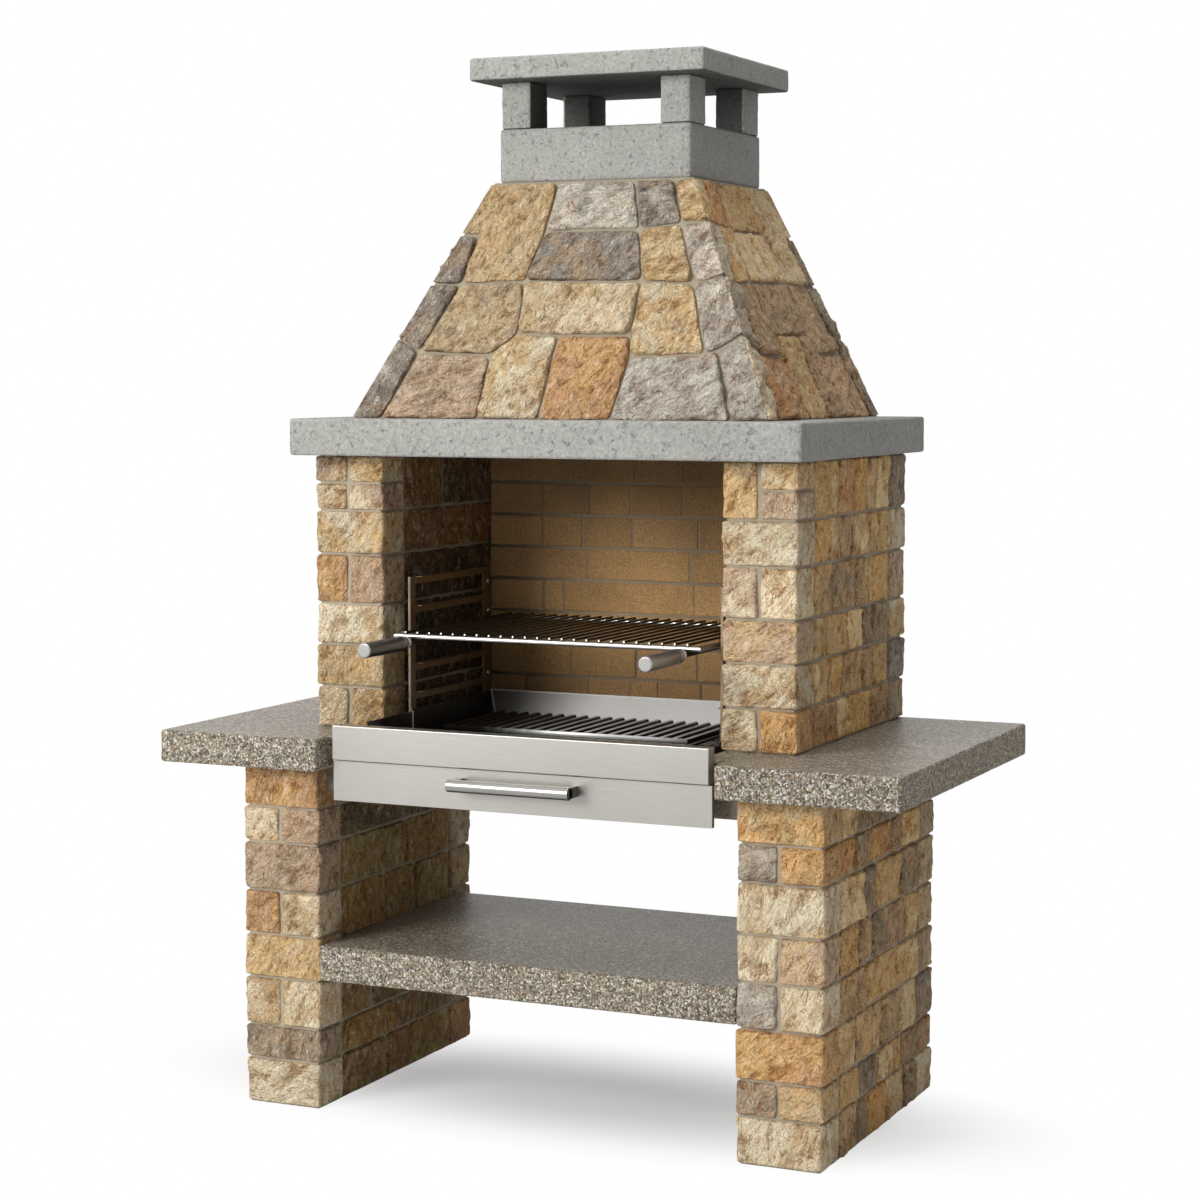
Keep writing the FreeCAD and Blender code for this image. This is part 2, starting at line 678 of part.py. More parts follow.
class HoodSide:
    """One sloping side of the hood, with the two hips that bound it."""

    def __init__(self, name, facing, left, right, mirrored):
        self.name = name
        self.facing = facing
        self.left = left
        self.right = right
        self.mirrored = mirrored

    def at(self, share, rise):
        """A point of the side, as a share of its width and a share of its height."""
        left = self.left[0] + (self.left[1] - self.left[0]) * rise
        right = self.right[0] + (self.right[1] - self.right[0]) * rise
        return (left + (right - left) * share, float(dim.hood_height) * rise)

    def panel(self):
        height = float(dim.hood_height)
        outer = float(dim.hood_slip)
        rings = []
        for depth in (outer, outer + float(dim.hood_panel)):
            corners = [(self.left[0] + depth, 0.0), (self.right[0] - depth, 0.0),
                       (self.right[1] - depth, height), (self.left[1] + depth, height)]
            rings.append([self.facing.point(a, z, depth) for a, z in corners])
        return loft_rings(rings)

    def stones(self):
        """The rubble facing.  Stones that meet on a hip are mitred there and look like one corner stone."""
        solids = []
        for outline in HOOD_STONES:
            junctions = [HOOD_JUNCTIONS[name[0]][int(name[1])] for name in outline.split()]
            if self.mirrored:
                junctions = [(1.0 - share, rise) for share, rise in junctions]
            shares = [share for share, rise in junctions]
            hips = [i for i, (near, far) in enumerate(zip(shares, shares[1:] + shares[:1]))
                    if near == far and near in (0.0, 1.0)]
            corners = [self.at(share, rise) for share, rise in junctions]
            solids.append(cut_stone(self.facing, corners, float(dim.hood_slip), float(dim.joint_gap),
                                    float(dim.stone_edge), hips))
        return solids


def build_hood():
    base_half, top_half = float(hood_half), float(dim.hood_top_width) / 2
    front, rear = float(hood_front), float(hood_rear)
    top_front, top_rear = float(hood_top_front), float(hood_top_rear)
    height = float(dim.hood_height)
    level = float(mantel_top)
    x_axis, y_axis = Vector(1, 0, 0), Vector(0, 1, 0)
    across_x = ((-base_half, -top_half), (base_half, top_half))
    across_y = ((front, top_front), (rear, top_rear))
    side_lean = (base_half - top_half) / height
    sides = (
        HoodSide("front", Facing(Vector(0, front, level), x_axis, y_axis, (top_front - front) / height),
                 *across_x, False),
        HoodSide("rear", Facing(Vector(0, rear, level), x_axis, -y_axis, (rear - top_rear) / height),
                 *across_x, True),
        HoodSide("left", Facing(Vector(-base_half, 0, level), y_axis, x_axis, side_lean), *across_y, False),
        HoodSide("right", Facing(Vector(base_half, 0, level), y_axis, -x_axis, side_lean), *across_y, True),
    )
    for side in sides:
        feature(f"hood_{side.name}_panel", [side.panel()])
        feature(f"hood_{side.name}_stones", side.stones())


build_hood()


# Chimney: a collar, four posts and a cap

def build_chimney():
    width = dim.hood_top_width - dim.collar_side_setback * 2
    depth = collar_rear - collar_front
    wall = dim.collar_wall
    slab("chimney_collar", -(width / 2), collar_front, hood_top, dim.collar_height, width, depth,
         rectangle(0, width, 0, depth), rectangle(wall, width - wall, wall, depth - wall))
    posts = []
    reach_x = width / 2 - dim.post_inset
    front_y = (collar_front + dim.post_inset, collar_front + dim.post_inset + dim.post_depth)
    rear_y = (collar_rear - dim.post_inset - dim.post_depth, collar_rear - dim.post_inset)
    for name, limits_y in (("front", front_y), ("rear", rear_y)):
        posts.append(box(f"{name}_left_post", (-reach_x, -reach_x + dim.post_width), limits_y,
                         (collar_top, posts_top)))
        posts.append(box(f"{name}_right_post", (reach_x - dim.post_width, reach_x), limits_y,
                         (collar_top, posts_top)))
    keep(group("chimney_posts", posts), "chimney_posts")
    cap_width = width + dim.cap_overhang * 2
    cap_depth = depth + dim.cap_overhang * 2
    slab("chimney_cap", -(cap_width / 2), collar_front - dim.cap_overhang, posts_top, dim.cap_thickness,
         cap_width, cap_depth, rectangle(0, cap_width, 0, cap_depth))


build_chimney()


# Bearers under the worktop beside each leg, with the steel angles that the ash drawer runs on

def build_runners():
    tall, wide, wall = dim.bearer_height, dim.runner_width, dim.runner_thickness
    bearer_outer = leg_inner - dim.running_gap
    limits_y, limits_z = (bearer_front, bearer_rear), (bearer_bottom, leg_top)
    keep(box("left_bearer", (-bearer_outer, -bearer_inner), limits_y, limits_z), "left_bearer")
    keep(box("right_bearer", (bearer_inner, bearer_outer), limits_y, limits_z), "right_bearer")
    profiles = (
        ("left_runner", -bearer_inner,
         ((0, 0), (wide, 0), (wide, wall), (wall, wall), (wall, tall), (0, tall))),
        ("right_runner", bearer_inner - wide,
         ((0, 0), (wide, 0), (wide, tall), (wide - wall, tall), (wide - wall, wall), (0, wall))),
    )
    for name, start_x, profile in profiles:
        body = new_body(name, start_x, bearer_rear, bearer_bottom)
        section = draw_loops(new_sketch(body, f"{name}_section", "XZ_Plane"), profile)
        pad(body, f"{name}_angle", section, dim.bearer_length)
        keep(body, name)


build_runners()


# Fire tray: two stepped side walls on folded feet, a floor with the ash opening, a back and an ember plate

def tray_wall(name, start_x, wall_lift):
    """A side wall with its foot folded outwards.  Its low front end reaches into the hollow apron."""
    nose = tray_front - apron_front - dim.sheet
    nose_sill = dim.apron_sill + dim.sheet + dim.seat_gap
    end = nose + tray_length
    step = end - dim.tray_high_length
    body = new_body(name, start_x, tray_front - nose, leg_top)
    profile = draw_loops(new_sketch(body, f"{name}_profile", "YZ_Plane", wall_lift), (
        (nose, 0), (end, 0), (end, dim.tray_rim), (step, dim.tray_rim), (step, dim.tray_low_rim),
        (0, dim.tray_low_rim), (0, nose_sill), (nose, nose_sill),
    ))
    pad(body, f"{name}_web", profile, dim.sheet)
    outline = draw_loops(new_sketch(body, f"{name}_foot_outline", "XY_Plane"),
                         rectangle(0, dim.tray_foot + dim.sheet, nose, end))
    pad(body, f"{name}_foot", outline, dim.sheet)
    keep(body, name)


def build_tray():
    tray_wall("tray_left_wall", -tray_outer - dim.tray_foot, dim.tray_foot)
    tray_wall("tray_right_wall", tray_inner, 0)
    keep(box("tray_back", (-tray_inner, tray_inner), (tray_rear - dim.sheet, tray_rear), (leg_top, tray_rim)),
         "tray_back")
    floor_front = apron_front + dim.sheet
    floor_depth = tray_rear - dim.sheet - floor_front
    hole_left = tray_inner - charcoal_half + dim.grate_bearing
    hole_right = tray_inner + charcoal_half - dim.grate_bearing
    hole_front = charcoal_front + dim.grate_bearing - floor_front
    hole_rear = charcoal_rear - dim.grate_bearing - floor_front
    body = new_body("tray_floor", -tray_inner, floor_front, tray_floor)
    outline = draw_loops(new_sketch(body, "tray_floor_outline", "XY_Plane"),
                         rectangle(0, tray_inner * 2, 0, floor_depth),
                         rectangle(hole_left, hole_right, hole_front, hole_rear))
    pad(body, "tray_floor_plate", outline, dim.sheet)
    keep(body, "tray_floor")


def build_ember_plate():
    """A plate that leans from the tray floor against the tray's back and narrows downwards."""
    back = float(tray_rear - dim.sheet)
    low, high = float(tray_floor + dim.sheet), float(tray_rim)
    run = back - float(charcoal_rear + dim.ember_gap)
    foot_half, head_half = float(charcoal_half + dim.ember_foot_margin), float(tray_inner - dim.seat_gap)
    rear_face = [Vector(-foot_half, back - run, low), Vector(foot_half, back - run, low),
                 Vector(head_half, back, high), Vector(-head_half, back, high)]
    outward = Vector(0, low - high, run).normalize() * float(dim.sheet)
    feature("ember_plate", [loft_rings([rear_face, [corner + outward for corner in rear_face]])])


def hollow_front(name, half_width, y, z, open_to):
    """A folded sheet front: a shallow tray that is open towards the back."""
    fold = dim.sheet
    outer = box(f"{name}_outer", (-half_width, half_width), y, z)
    inner = box(f"{name}_inner", (fold - half_width, half_width - fold), (y[0] + fold, open_to),
                (z[0] + fold, z[1] - fold))
    return keep(cut(name, outer, inner), name)


build_tray()
build_ember_plate()
hollow_front("front_apron", dim.recess_width / 2 - dim.apron_side_gap, (apron_front, apron_rear),
             (apron_sill, apron_top), tray_front)


# Grill racks on the tray's side walls: two folded posts and a ladder of angle rungs on each side

def rack_post(name, start_x, start_y, profile):
    body = new_body(name, start_x, start_y, rack_bottom)
    section = draw_loops(new_sketch(body, f"{name}_section", "XY_Plane"), profile)
    pad(body, f"{name}_bar", section, rack_levels[-1] - rack_bottom)
    return body


def build_racks():
    fold, flange = dim.sheet, dim.rack_flange
    plate = flange - fold
    front, rear = dim.rack_post, dim.rack_rear_post
    rear_y = tray_rear - rear
    right_x = tray_outer
    left_x = -tray_outer - flange
    posts = {
        "left": (
            rack_post("left_front_post", left_x, rack_front,
                      ((0, 0), (flange, 0), (flange, front), (plate, front), (plate, fold), (0, fold))),
            rack_post("left_rear_post", left_x, rear_y,
                      ((plate, 0), (flange, 0), (flange, rear), (0, rear), (0, rear - fold),
                       (plate, rear - fold))),
        ),
        "right": (
            rack_post("right_front_post", right_x, rack_front,
                      ((0, 0), (flange, 0), (flange, fold), (fold, fold), (fold, front), (0, front))),
            rack_post("right_rear_post", right_x, rear_y,
                      ((0, 0), (fold, 0), (fold, rear - fold), (flange, rear - fold), (flange, rear),
                       (0, rear))),
        ),
    }
    rung_y = (rack_front + front, rear_y)
    limits = {
        "left": ((-tray_outer - fold, -tray_outer), (-tray_outer - fold, dim.ledge_width - tray_outer)),
        "right": ((tray_outer, tray_outer + fold), (tray_outer - dim.ledge_width, tray_outer + fold)),
    }
    for side, (upright_x, ledge_x) in limits.items():
        rungs = []
        for level, top in enumerate(rack_levels):
            rung = doc.addObject("Part::Fuse", f"{side}_rung_{level}")
            rung.Base = box(f"{side}_rung_{level}_upright", upright_x, rung_y, (top - dim.rung_height, top))
            rung.Tool = box(f"{side}_rung_{level}_ledge", ledge_x, rung_y, (top - fold, top))
            rung.Refine = True
            rungs.append(rung)
        keep(group(f"{side}_rack_posts", list(posts[side])), f"{side}_rack_posts")
        keep(group(f"{side}_rack_rungs", rungs), f"{side}_rack_rungs")


build_racks()


# Charcoal grate: a flat frame on four feet, with bars from front to back

def bar_places(span, pitch):
    """Even places for bars across a span, centred, at about the pitch."""
    count = int(float(span) // float(pitch)) + 1
    return [pitch * (i - (count - 1) / 2) for i in range(count)]


def build_charcoal_grate():
    half, front, rear = charcoal_half, charcoal_front, charcoal_rear
    foot_z = tray_floor + dim.sheet + dim.running_gap
    rail_z = foot_z + dim.charcoal_foot_height
    rail = dim.charcoal_rail
    body = new_body("charcoal_grate_frame", -half, front, rail_z)
    outline = draw_loops(new_sketch(body, "charcoal_frame_outline", "XY_Plane"),
                         rectangle(0, half * 2, 0, dim.charcoal_depth),
                         rectangle(rail, half * 2 - rail, rail, dim.charcoal_depth - rail))
    pad(body, "charcoal_frame_plate", outline, dim.charcoal_rail_thickness)
    keep(body, "charcoal_grate_frame")

    bar_z = rail_z + dim.charcoal_rail_thickness + dim.charcoal_bar / 2
    places = bar_places(half * 2 - dim.charcoal_bar, dim.charcoal_pitch)
    bars = [bar(f"charcoal_bar_{i}", dim.charcoal_bar, dim.charcoal_depth, at, front, bar_z)
            for i, at in enumerate(places)]
    keep(group("charcoal_grate_bars", bars), "charcoal_grate_bars")

    foot = dim.charcoal_foot
    feet = []
    for i, x in enumerate((-half, half - foot)):
        for j, y in enumerate((front, rear - foot)):
            feet.append(box(f"charcoal_foot_{i}_{j}", (x, x + foot), (y, y + foot), (foot_z, rail_z)))
    keep(group("charcoal_grate_feet", feet), "charcoal_grate_feet")


build_charcoal_grate()


# Cooking grate: a mitred rod frame, bars on top and two arms below it with sleeve grips

def build_cooking_grate():
    rod_radius = dim.grill_rod / 2
    half = tray_outer - dim.grill_side_gap - rod_radius
    front = worktop_front + dim.grill_setback
    depth = lining_face - dim.grill_rear_gap - front
    run = depth - dim.grill_rod
    frame_z = rack_levels[LEVELS_UNDER_GRILL] + dim.running_gap + rod_radius
    body = new_body("grill_frame", -half, front + rod_radius, frame_z)
    path = draw_loops(new_sketch(body, "grill_frame_path", "XY_Plane"), rectangle(0, half * 2, 0, run))
    section = new_sketch(body, "grill_frame_section", "YZ_Plane", half)
    section.addGeometry(Part.Circle(Vector(), Vector(0, 0, 1), float(rod_radius)), False)
    section.addConstraint(Sketcher.Constraint("Coincident", 0, 3, -1, 1))
    index = section.addConstraint(Sketcher.Constraint("Radius", 0, float(rod_radius)))
    bind(section, f"Constraints[{index}]", rod_radius)
    doc.recompute()
    sweep = body.newObject("PartDesign::AdditivePipe", "grill_frame_rod")
    sweep.Profile = section
    sweep.Spine = (path, [f"Edge{number}" for number in range(1, 5)])
    sweep.Transition = "Right corner"
    keep(body, "grill_frame")

    bar_z = frame_z + rod_radius + dim.grill_bar / 2
    places = bar_places(half * 2 - dim.grill_pitch, dim.grill_pitch)
    bars = [bar(f"grill_bar_{i}", dim.grill_bar, depth, at, front, bar_z)
            for i, at in enumerate(places)]
    keep(group("grill_bars", bars), "grill_bars")

    arm_z = frame_z - rod_radius - dim.arm_rod / 2
    grip_rear = front - dim.grip_standoff
    grip_front = grip_rear - dim.grip_length
    arm_front = grip_front + dim.grip_wall + dim.grip_bore_gap
    arm_length = front + depth - rod_radius - arm_front
    arm_x = half + rod_radius - dim.arm_inset
    arms, grips, ferrules = [], [], []
    for side, at in (("left", -arm_x), ("right", arm_x)):
        arms.append(rod(f"{side}_arm", dim.arm_rod, arm_length, "y", at, arm_front, arm_z))
        grips.append(grip_sleeve(f"{side}_grip", at, grip_front, arm_z))
        bore = dim.arm_rod + dim.grip_bore_gap * 2
        ferrules.append(cut(
            f"{side}_ferrule",
            rod(f"{side}_ferrule_outer", dim.ferrule_diameter, dim.ferrule_length, "y", at, grip_rear, arm_z),
            rod(f"{side}_ferrule_bore", bore, dim.ferrule_length, "y", at, grip_rear, arm_z),
        ))
    keep(group("grill_arms", arms), "grill_arms")
    keep(group("grill_grips", grips), "grill_grips")
    keep(group("grip_ferrules", ferrules), "grip_ferrules")


def grip_sleeve(name, x, y, z):
    """A turned sleeve, closed at its front end and bored from the rear for the arm."""
    body = new_body(name, x, y, z)
    outer = dim.grip_diameter / 2
    bore = dim.arm_rod / 2 + dim.grip_bore_gap
    edge, long = dim.grip_edge, dim.grip_length
    profile = draw_loops(new_sketch(body, f"{name}_profile", "XY_Plane"), (
        (0, 0), (outer - edge, 0), (outer, edge), (outer, long), (bore, long), (bore, dim.grip_wall),
        (0, dim.grip_wall),
    ))
    turned = body.newObject("PartDesign::Revolution", f"{name}_sleeve")
    turned.Profile = profile
    turned.ReferenceAxis = (profile, ["V_Axis"])
    turned.Angle = 360
    return body


build_cooking_grate()


# Ash drawer: a pan on the runners, a folded front and a bar handle on two posts

def build_drawer():
    front = worktop_front + dim.drawer_front_setback
    back = front + dim.drawer_front_depth
    top = apron_sill - dim.drawer_front_drop
    bottom = top - dim.drawer_front_height
    half_width = dim.recess_width / 2 - dim.drawer_front_gap
    hollow_front("drawer_front", half_width, (front, back), (bottom, top), back + dim.seat_gap)

    pan_half = bearer_inner - dim.runner_thickness - dim.drawer_side_gap
    pan_y = (front + dim.sheet, front + dim.sheet + dim.pan_length)
    pan_z = (bearer_bottom + dim.runner_thickness + dim.running_gap,
             bearer_bottom + dim.runner_thickness + dim.running_gap + dim.pan_height)
    outer = box("drawer_pan_outer", (-pan_half, pan_half), pan_y, pan_z)
    inner = box("drawer_pan_inner", (dim.sheet - pan_half, pan_half - dim.sheet),
                (pan_y[0] + dim.sheet, pan_y[1] - dim.sheet), (pan_z[0] + dim.sheet, pan_z[1] + dim.sheet))
    keep(cut("drawer_pan", outer, inner), "drawer_pan")

    bar_y = front - dim.handle_standoff - dim.handle_diameter / 2
    bar_z = top - dim.handle_drop
    half = dim.handle_length / 2
    keep(rod("drawer_handle_bar", dim.handle_diameter, dim.handle_length, "x", -half, bar_y, bar_z),
         "drawer_handle_bar")
    posts = []
    post_z = (bar_z - dim.handle_post_height / 2, bar_z + dim.handle_post_height / 2)
    for side, low in (("left", -half), ("right", half - dim.handle_post_width)):
        limits_x = (low, low + dim.handle_post_width)
        block = box(f"{side}_handle_block", limits_x, (bar_y, front), post_z)
        saddle = rod(f"{side}_handle_saddle", dim.handle_diameter, dim.handle_post_width, "x",
                     low, bar_y, bar_z)
        posts.append(cut(f"{side}_handle_post", block, saddle))
    keep(group("drawer_handle_posts", posts), "drawer_handle_posts")


build_drawer()

doc.recompute()

# Nothing is written unless every object is sound
failed = [obj.Name for obj in doc.Objects if "Invalid" in obj.State or "Error" in obj.State]
for part in parts:
    if part.Shape.isNull() or not part.Shape.isValid():
        failed.append(part.Label)
if failed:
    raise SystemExit("Failed: " + ", ".join(failed))
os.makedirs("parts", exist_ok=True)
for part in parts:
    part.Shape.exportStep(f"parts/{part.Label}.step")
print(len(parts), "sub-parts written")
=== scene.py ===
import bisect
import json
import math
import random

import bmesh
import bpy
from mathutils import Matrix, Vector, kdtree, noise
from mathutils.geometry import delaunay_2d_cdt, tessellate_polygon


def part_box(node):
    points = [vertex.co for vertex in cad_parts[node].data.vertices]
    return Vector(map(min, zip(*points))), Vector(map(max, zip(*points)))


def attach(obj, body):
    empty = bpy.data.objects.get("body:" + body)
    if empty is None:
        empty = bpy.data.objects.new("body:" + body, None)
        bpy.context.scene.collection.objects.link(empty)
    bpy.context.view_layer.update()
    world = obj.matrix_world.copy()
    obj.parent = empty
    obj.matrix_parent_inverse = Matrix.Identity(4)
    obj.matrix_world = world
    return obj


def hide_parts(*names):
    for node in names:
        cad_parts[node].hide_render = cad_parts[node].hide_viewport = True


# The masonry barbecue's looks: split-face stones, mortar, terrazzo, cast concrete, firebrick and steel.
# Metres.  X runs across the front, Y from the front to the back, Z up.

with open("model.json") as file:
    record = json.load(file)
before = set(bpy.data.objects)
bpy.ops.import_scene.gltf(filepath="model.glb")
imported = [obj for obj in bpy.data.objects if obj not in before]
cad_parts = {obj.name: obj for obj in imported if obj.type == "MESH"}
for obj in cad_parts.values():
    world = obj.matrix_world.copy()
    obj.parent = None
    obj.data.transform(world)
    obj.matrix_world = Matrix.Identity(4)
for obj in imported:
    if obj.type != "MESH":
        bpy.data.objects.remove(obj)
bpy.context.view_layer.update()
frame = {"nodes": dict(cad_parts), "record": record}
# The noise that leans the stones' chips is the same each run
noise.seed_set(1)
BODY_OF = {node: body for body, nodes in frame["record"]["behaviour"]["bodies"].items() for node in nodes}


# Tones of the stones, as colours on a screen
TONES = {
    "cream": (241, 222, 187), "tan": (210, 181, 137), "gold": (216, 181, 128), "orange": (223, 176, 116),
    "brown": (197, 153, 109), "rose": (202, 172, 142), "umber": (179, 154, 125), "pearl": (210, 199, 181),
    "grey": (181, 169, 153), "slate": (149, 136, 121),
}
# What each tone is clouded with
CLOUDS = {
    "cream": ("tan", "gold", "tan"), "tan": ("gold", "umber", "cream"), "gold": ("orange", "cream", "tan"),
    "orange": ("gold", "brown"), "brown": ("orange", "rose"), "rose": ("umber", "cream", "tan"),
    "umber": ("slate", "tan", "rose"), "pearl": ("cream", "grey"), "grey": ("slate", "pearl"),
    "slate": ("umber", "grey"),
}
# The tones of a wall's side faces, the common ones more than once
SIDE_TONES = ("tan", "tan", "gold", "gold", "umber", "umber", "brown", "cream", "rose", "slate", "umber")
# Front stones of the legs and piers, from the bottom up and from left to right
FRONT_TONES = {
    "left_leg": "cream umber tan cream gold brown cream umber cream rose brown",
    "right_leg": "cream umber tan orange grey cream cream rose cream grey orange gold",
    "left_pier": "tan gold tan cream brown rose gold cream rose umber gold",
    "right_pier": "cream orange cream rose rose cream cream rose gold gold",
}
# Stones of the hood's front: how far across, how far up, and the tone
HOOD_TONES = (
    (0.03, 0.15, "slate"), (0.18, 0.14, "rose"), (0.38, 0.17, "cream"), (0.57, 0.17, "brown"),
    (0.78, 0.13, "pearl"), (0.96, 0.16, "pearl"), (0.05, 0.44, "slate"), (0.20, 0.43, "tan"),
    (0.51, 0.46, "cream"), (0.79, 0.41, "gold"), (0.94, 0.45, "grey"), (0.04, 0.67, "slate"),
    (0.18, 0.82, "tan"), (0.52, 0.68, "slate"), (0.80, 0.68, "tan"), (0.94, 0.70, "pearl"),
    (0.52, 0.90, "pearl"), (0.80, 0.90, "grey"), (0.95, 0.91, "gold"),
)
# Rust stains of the stones, the brown of the painted shade in their creases, and the cream of the painted
# highlight on their ridges
RUST = (192, 146, 92)
CREASE_SHADE_BROWN = (158, 114, 64)
RIDGE_HIGHLIGHT_CREAM = (253, 246, 230)
# Chips in the terrazzo: where each one's share begins, and its colour
CHIPS = (
    (0.00, (66, 61, 54)), (0.20, (104, 98, 88)), (0.38, (140, 132, 118)), (0.56, (168, 154, 129)),
    (0.68, (146, 118, 84)), (0.77, (196, 187, 170)), (0.91, (226, 220, 207)),
)
CEMENT = (124, 118, 106)
FIRE_CLAY = (184, 145, 97)
# The colour of the firebricks' painted shade and soot
BRICK_SHADE_AND_SOOT = (58, 44, 30)
# The fire tray's and the charcoal grate's steel: near white as painted reflection and highlight, grey as
# painted shade towards the left, black with soot, and dark as painted shade on the bars' tops at the left
BRIGHT = (252, 251, 248)
BRIGHT_LOW = (236, 235, 231)
LEFT_SHADE_GREY = (84, 82, 78)
SOOTED = (10, 9, 8)
LEFT_TOP_SHADE = (26, 25, 23)
# The drawer's handle: its darker and lighter brushing, and the painted shade on its underside and its ends
HANDLE_LOW = (140, 138, 134)
HANDLE_HIGH = (176, 174, 170)
HANDLE_UNDER_SHADE = (62, 61, 58)
HANDLE_END_SHADE = (64, 63, 61)
WHITE = (1.0, 1.0, 1.0, 1.0)


def screen_colour(red, green, blue):
    """A colour on a screen, from 0 to 255, as the light it stands for."""
    light = []
    for part in (red, green, blue):
        share = part / 255
        light.append(share / 12.92 if share <= 0.04045 else ((share + 0.055) / 1.055) ** 2.4)
    return (*light, 1.0)


def middle_of(points):
    return sum(points, Vector()) / len(points)


# Finishes

# The middle of the flue, and the left rack's place, up to which a painted glint lights its cut ends
FLUE = middle_of(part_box("chimney_collar"))
RACK_EDGE = middle_of(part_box("left_rack_posts")).x
# How the brushing of steel is drawn out
ALONG_X = (0.02, 0.6, 1.0)
ALONG_Y = (1.0, 0.03, 1.0)


class Wire:
    """A shader value that takes part in Python expressions.  Each step adds its Math node."""

    def __init__(self, nodes, socket):
        self.nodes = nodes
        self.socket = socket

    def __add__(self, other):
        return self.nodes.math("ADD", self, other)

    __radd__ = __add__

    def __sub__(self, other):
        return self.nodes.math("SUBTRACT", self, other)

    def __rsub__(self, other):
        return self.nodes.math("SUBTRACT", other, self)

    def __mul__(self, other):
        return self.nodes.math("MULTIPLY", self, other)

    __rmul__ = __mul__

    def __lt__(self, other):
        return self.nodes.math("LESS_THAN", self, other)


class Nodes:
    """The shader nodes of a finish or of the world."""

    def __init__(self, tree):
        self.tree = tree

    def feed(self, socket, value):
        """Gives a socket a link or a value of its own."""
        if isinstance(value, Wire):
            self.tree.links.new(value.socket, socket)
        else:
            socket.default_value = value

    def find(self, sockets, name):
        """A socket by its number, its identifier or its name."""
        if isinstance(name, int):
            return sockets[name]
        by_identifier = [socket for socket in sockets if socket.identifier == name]
        return by_identifier[0] if by_identifier else sockets[name]

    def node(self, kind, settings, sockets, output=0):
        """Any node: its type, its settings, then the values or links of its sockets."""
        node = self.tree.nodes.new(kind)
        for name, value in settings.items():
            if name == "stops":
                set_stops(node.color_ramp, value)
            else:
                setattr(node, name, value)
        for name, value in sockets.items():
            self.feed(self.find(node.inputs, name), value)
        return Wire(self, self.find(node.outputs, output))

    def math(self, operation, *values):
        return self.node("ShaderNodeMath", {"operation": operation}, dict(enumerate(values)))

    def seen_directly(self):
        """1 for what the camera sees directly or in a mirror or glass, else 0."""
        seen = self.node("ShaderNodeLightPath", {}, {}, "Is Camera Ray")
        for ray in ("Is Glossy Ray", "Is Transmission Ray"):
            seen = self.math("MAXIMUM", seen, self.node("ShaderNodeLightPath", {}, {}, ray))
        return seen


class Finish(Nodes):
    """A material built from one Principled shader and the nodes that feed it."""

    def __init__(self, name):
        self.material = bpy.data.materials.new(name)
        self.material.use_nodes = True
        super().__init__(self.material.node_tree)
        self.tree.nodes.clear()
        self.surface = self.tree.nodes.new("ShaderNodeBsdfPrincipled")
        self.output = self.tree.nodes.new("ShaderNodeOutputMaterial")
        self.shader = Wire(self, self.surface.outputs["BSDF"])
        self.feed(self.output.inputs["Surface"], self.shader)

    def mix(self, share, near, far, blend="MIX"):
        return self.node("ShaderNodeMix", {"data_type": "RGBA", "blend_type": blend},
                         {"Factor_Float": share, "A_Color": near, "B_Color": far}, "Result_Color")

    def between(self, share, low, high):
        """A mix of two colours on a screen."""
        return self.mix(share, screen_colour(*low), screen_colour(*high))

    def tinted(self, share, colour, tint):
        """A colour with a share of a colour on a screen."""
        return self.mix(share, colour, screen_colour(*tint))

    def scaled(self, colour, by):
        return self.node("ShaderNodeVectorMath", {"operation": "SCALE"}, {"Vector": colour, "Scale": by})

    def vector(self, operation, *values, output=0):
        return self.node("ShaderNodeVectorMath", {"operation": operation}, dict(enumerate(values)), output)

    def stretched(self, where, factors):
        return self.vector("MULTIPLY", where, factors)

    def along(self, vector, axis):
        return self.node("ShaderNodeSeparateXYZ", {}, {"Vector": vector}, axis)

    def place(self):
        return self.node("ShaderNodeTexCoord", {}, {}, "Object")

    def normal(self):
        return self.node("ShaderNodeNewGeometry", {}, {}, "Normal")

    def facing(self, axis):
        """How far a face looks along an axis, from -1 to 1."""
        return self.along(self.normal(), axis)

    def attribute(self, name, output="Color"):
        return self.node("ShaderNodeAttribute", {"attribute_name": name}, {}, output)

    def clouds(self, where, scale, detail, roughness, distortion=0.0):
        sockets = {"Vector": where, "Scale": scale, "Detail": detail, "Roughness": roughness}
        return self.node("ShaderNodeTexNoise", {}, {**sockets, "Distortion": distortion})

    def brushing(self, where, streaks):
        """Fine lines, drawn out the way the steel is brushed."""
        return self.clouds(self.stretched(where, streaks), 900.0, 3.0, 0.6)

    def bent(self, where, scale, reach):
        """Places shifted to and fro, so that what is drawn on them isn't straight."""
        sockets = {"Vector": where, "Scale": scale, "Detail": 2.0}
        return self.mix(reach, where, self.node("ShaderNodeTexNoise", {}, sockets, "Color"), "ADD")

    def cells(self, where, scale, output="Distance"):
        return self.node("ShaderNodeTexVoronoi", {}, {"Vector": where, "Scale": scale}, output)

    def chips(self, cells, part):
        """A chip's colour for each cell, and the number that picks it, a part of the cell's own colour."""
        pick = self.node("ShaderNodeSeparateColor", {}, {"Color": cells}, part)
        return self.node("ShaderNodeValToRGB", {"stops": CHIPS}, {"Fac": pick}, "Color"), pick

    def fade(self, value, low, high):
        return self.node("ShaderNodeMapRange", {"interpolation_type": "SMOOTHSTEP"}, {
            "Value": value, "From Min": low, "From Max": high})

    def relief(self, height, strength, depth):
        bump = self.node("ShaderNodeBump", {}, {"Strength": strength, "Distance": depth, "Height": height})
        self.feed(self.surface.inputs["Normal"], bump)

    def set(self, **sockets):
        for name, value in sockets.items():
            self.feed(self.surface.inputs[name.replace("_", " ")], value)
        return self.material


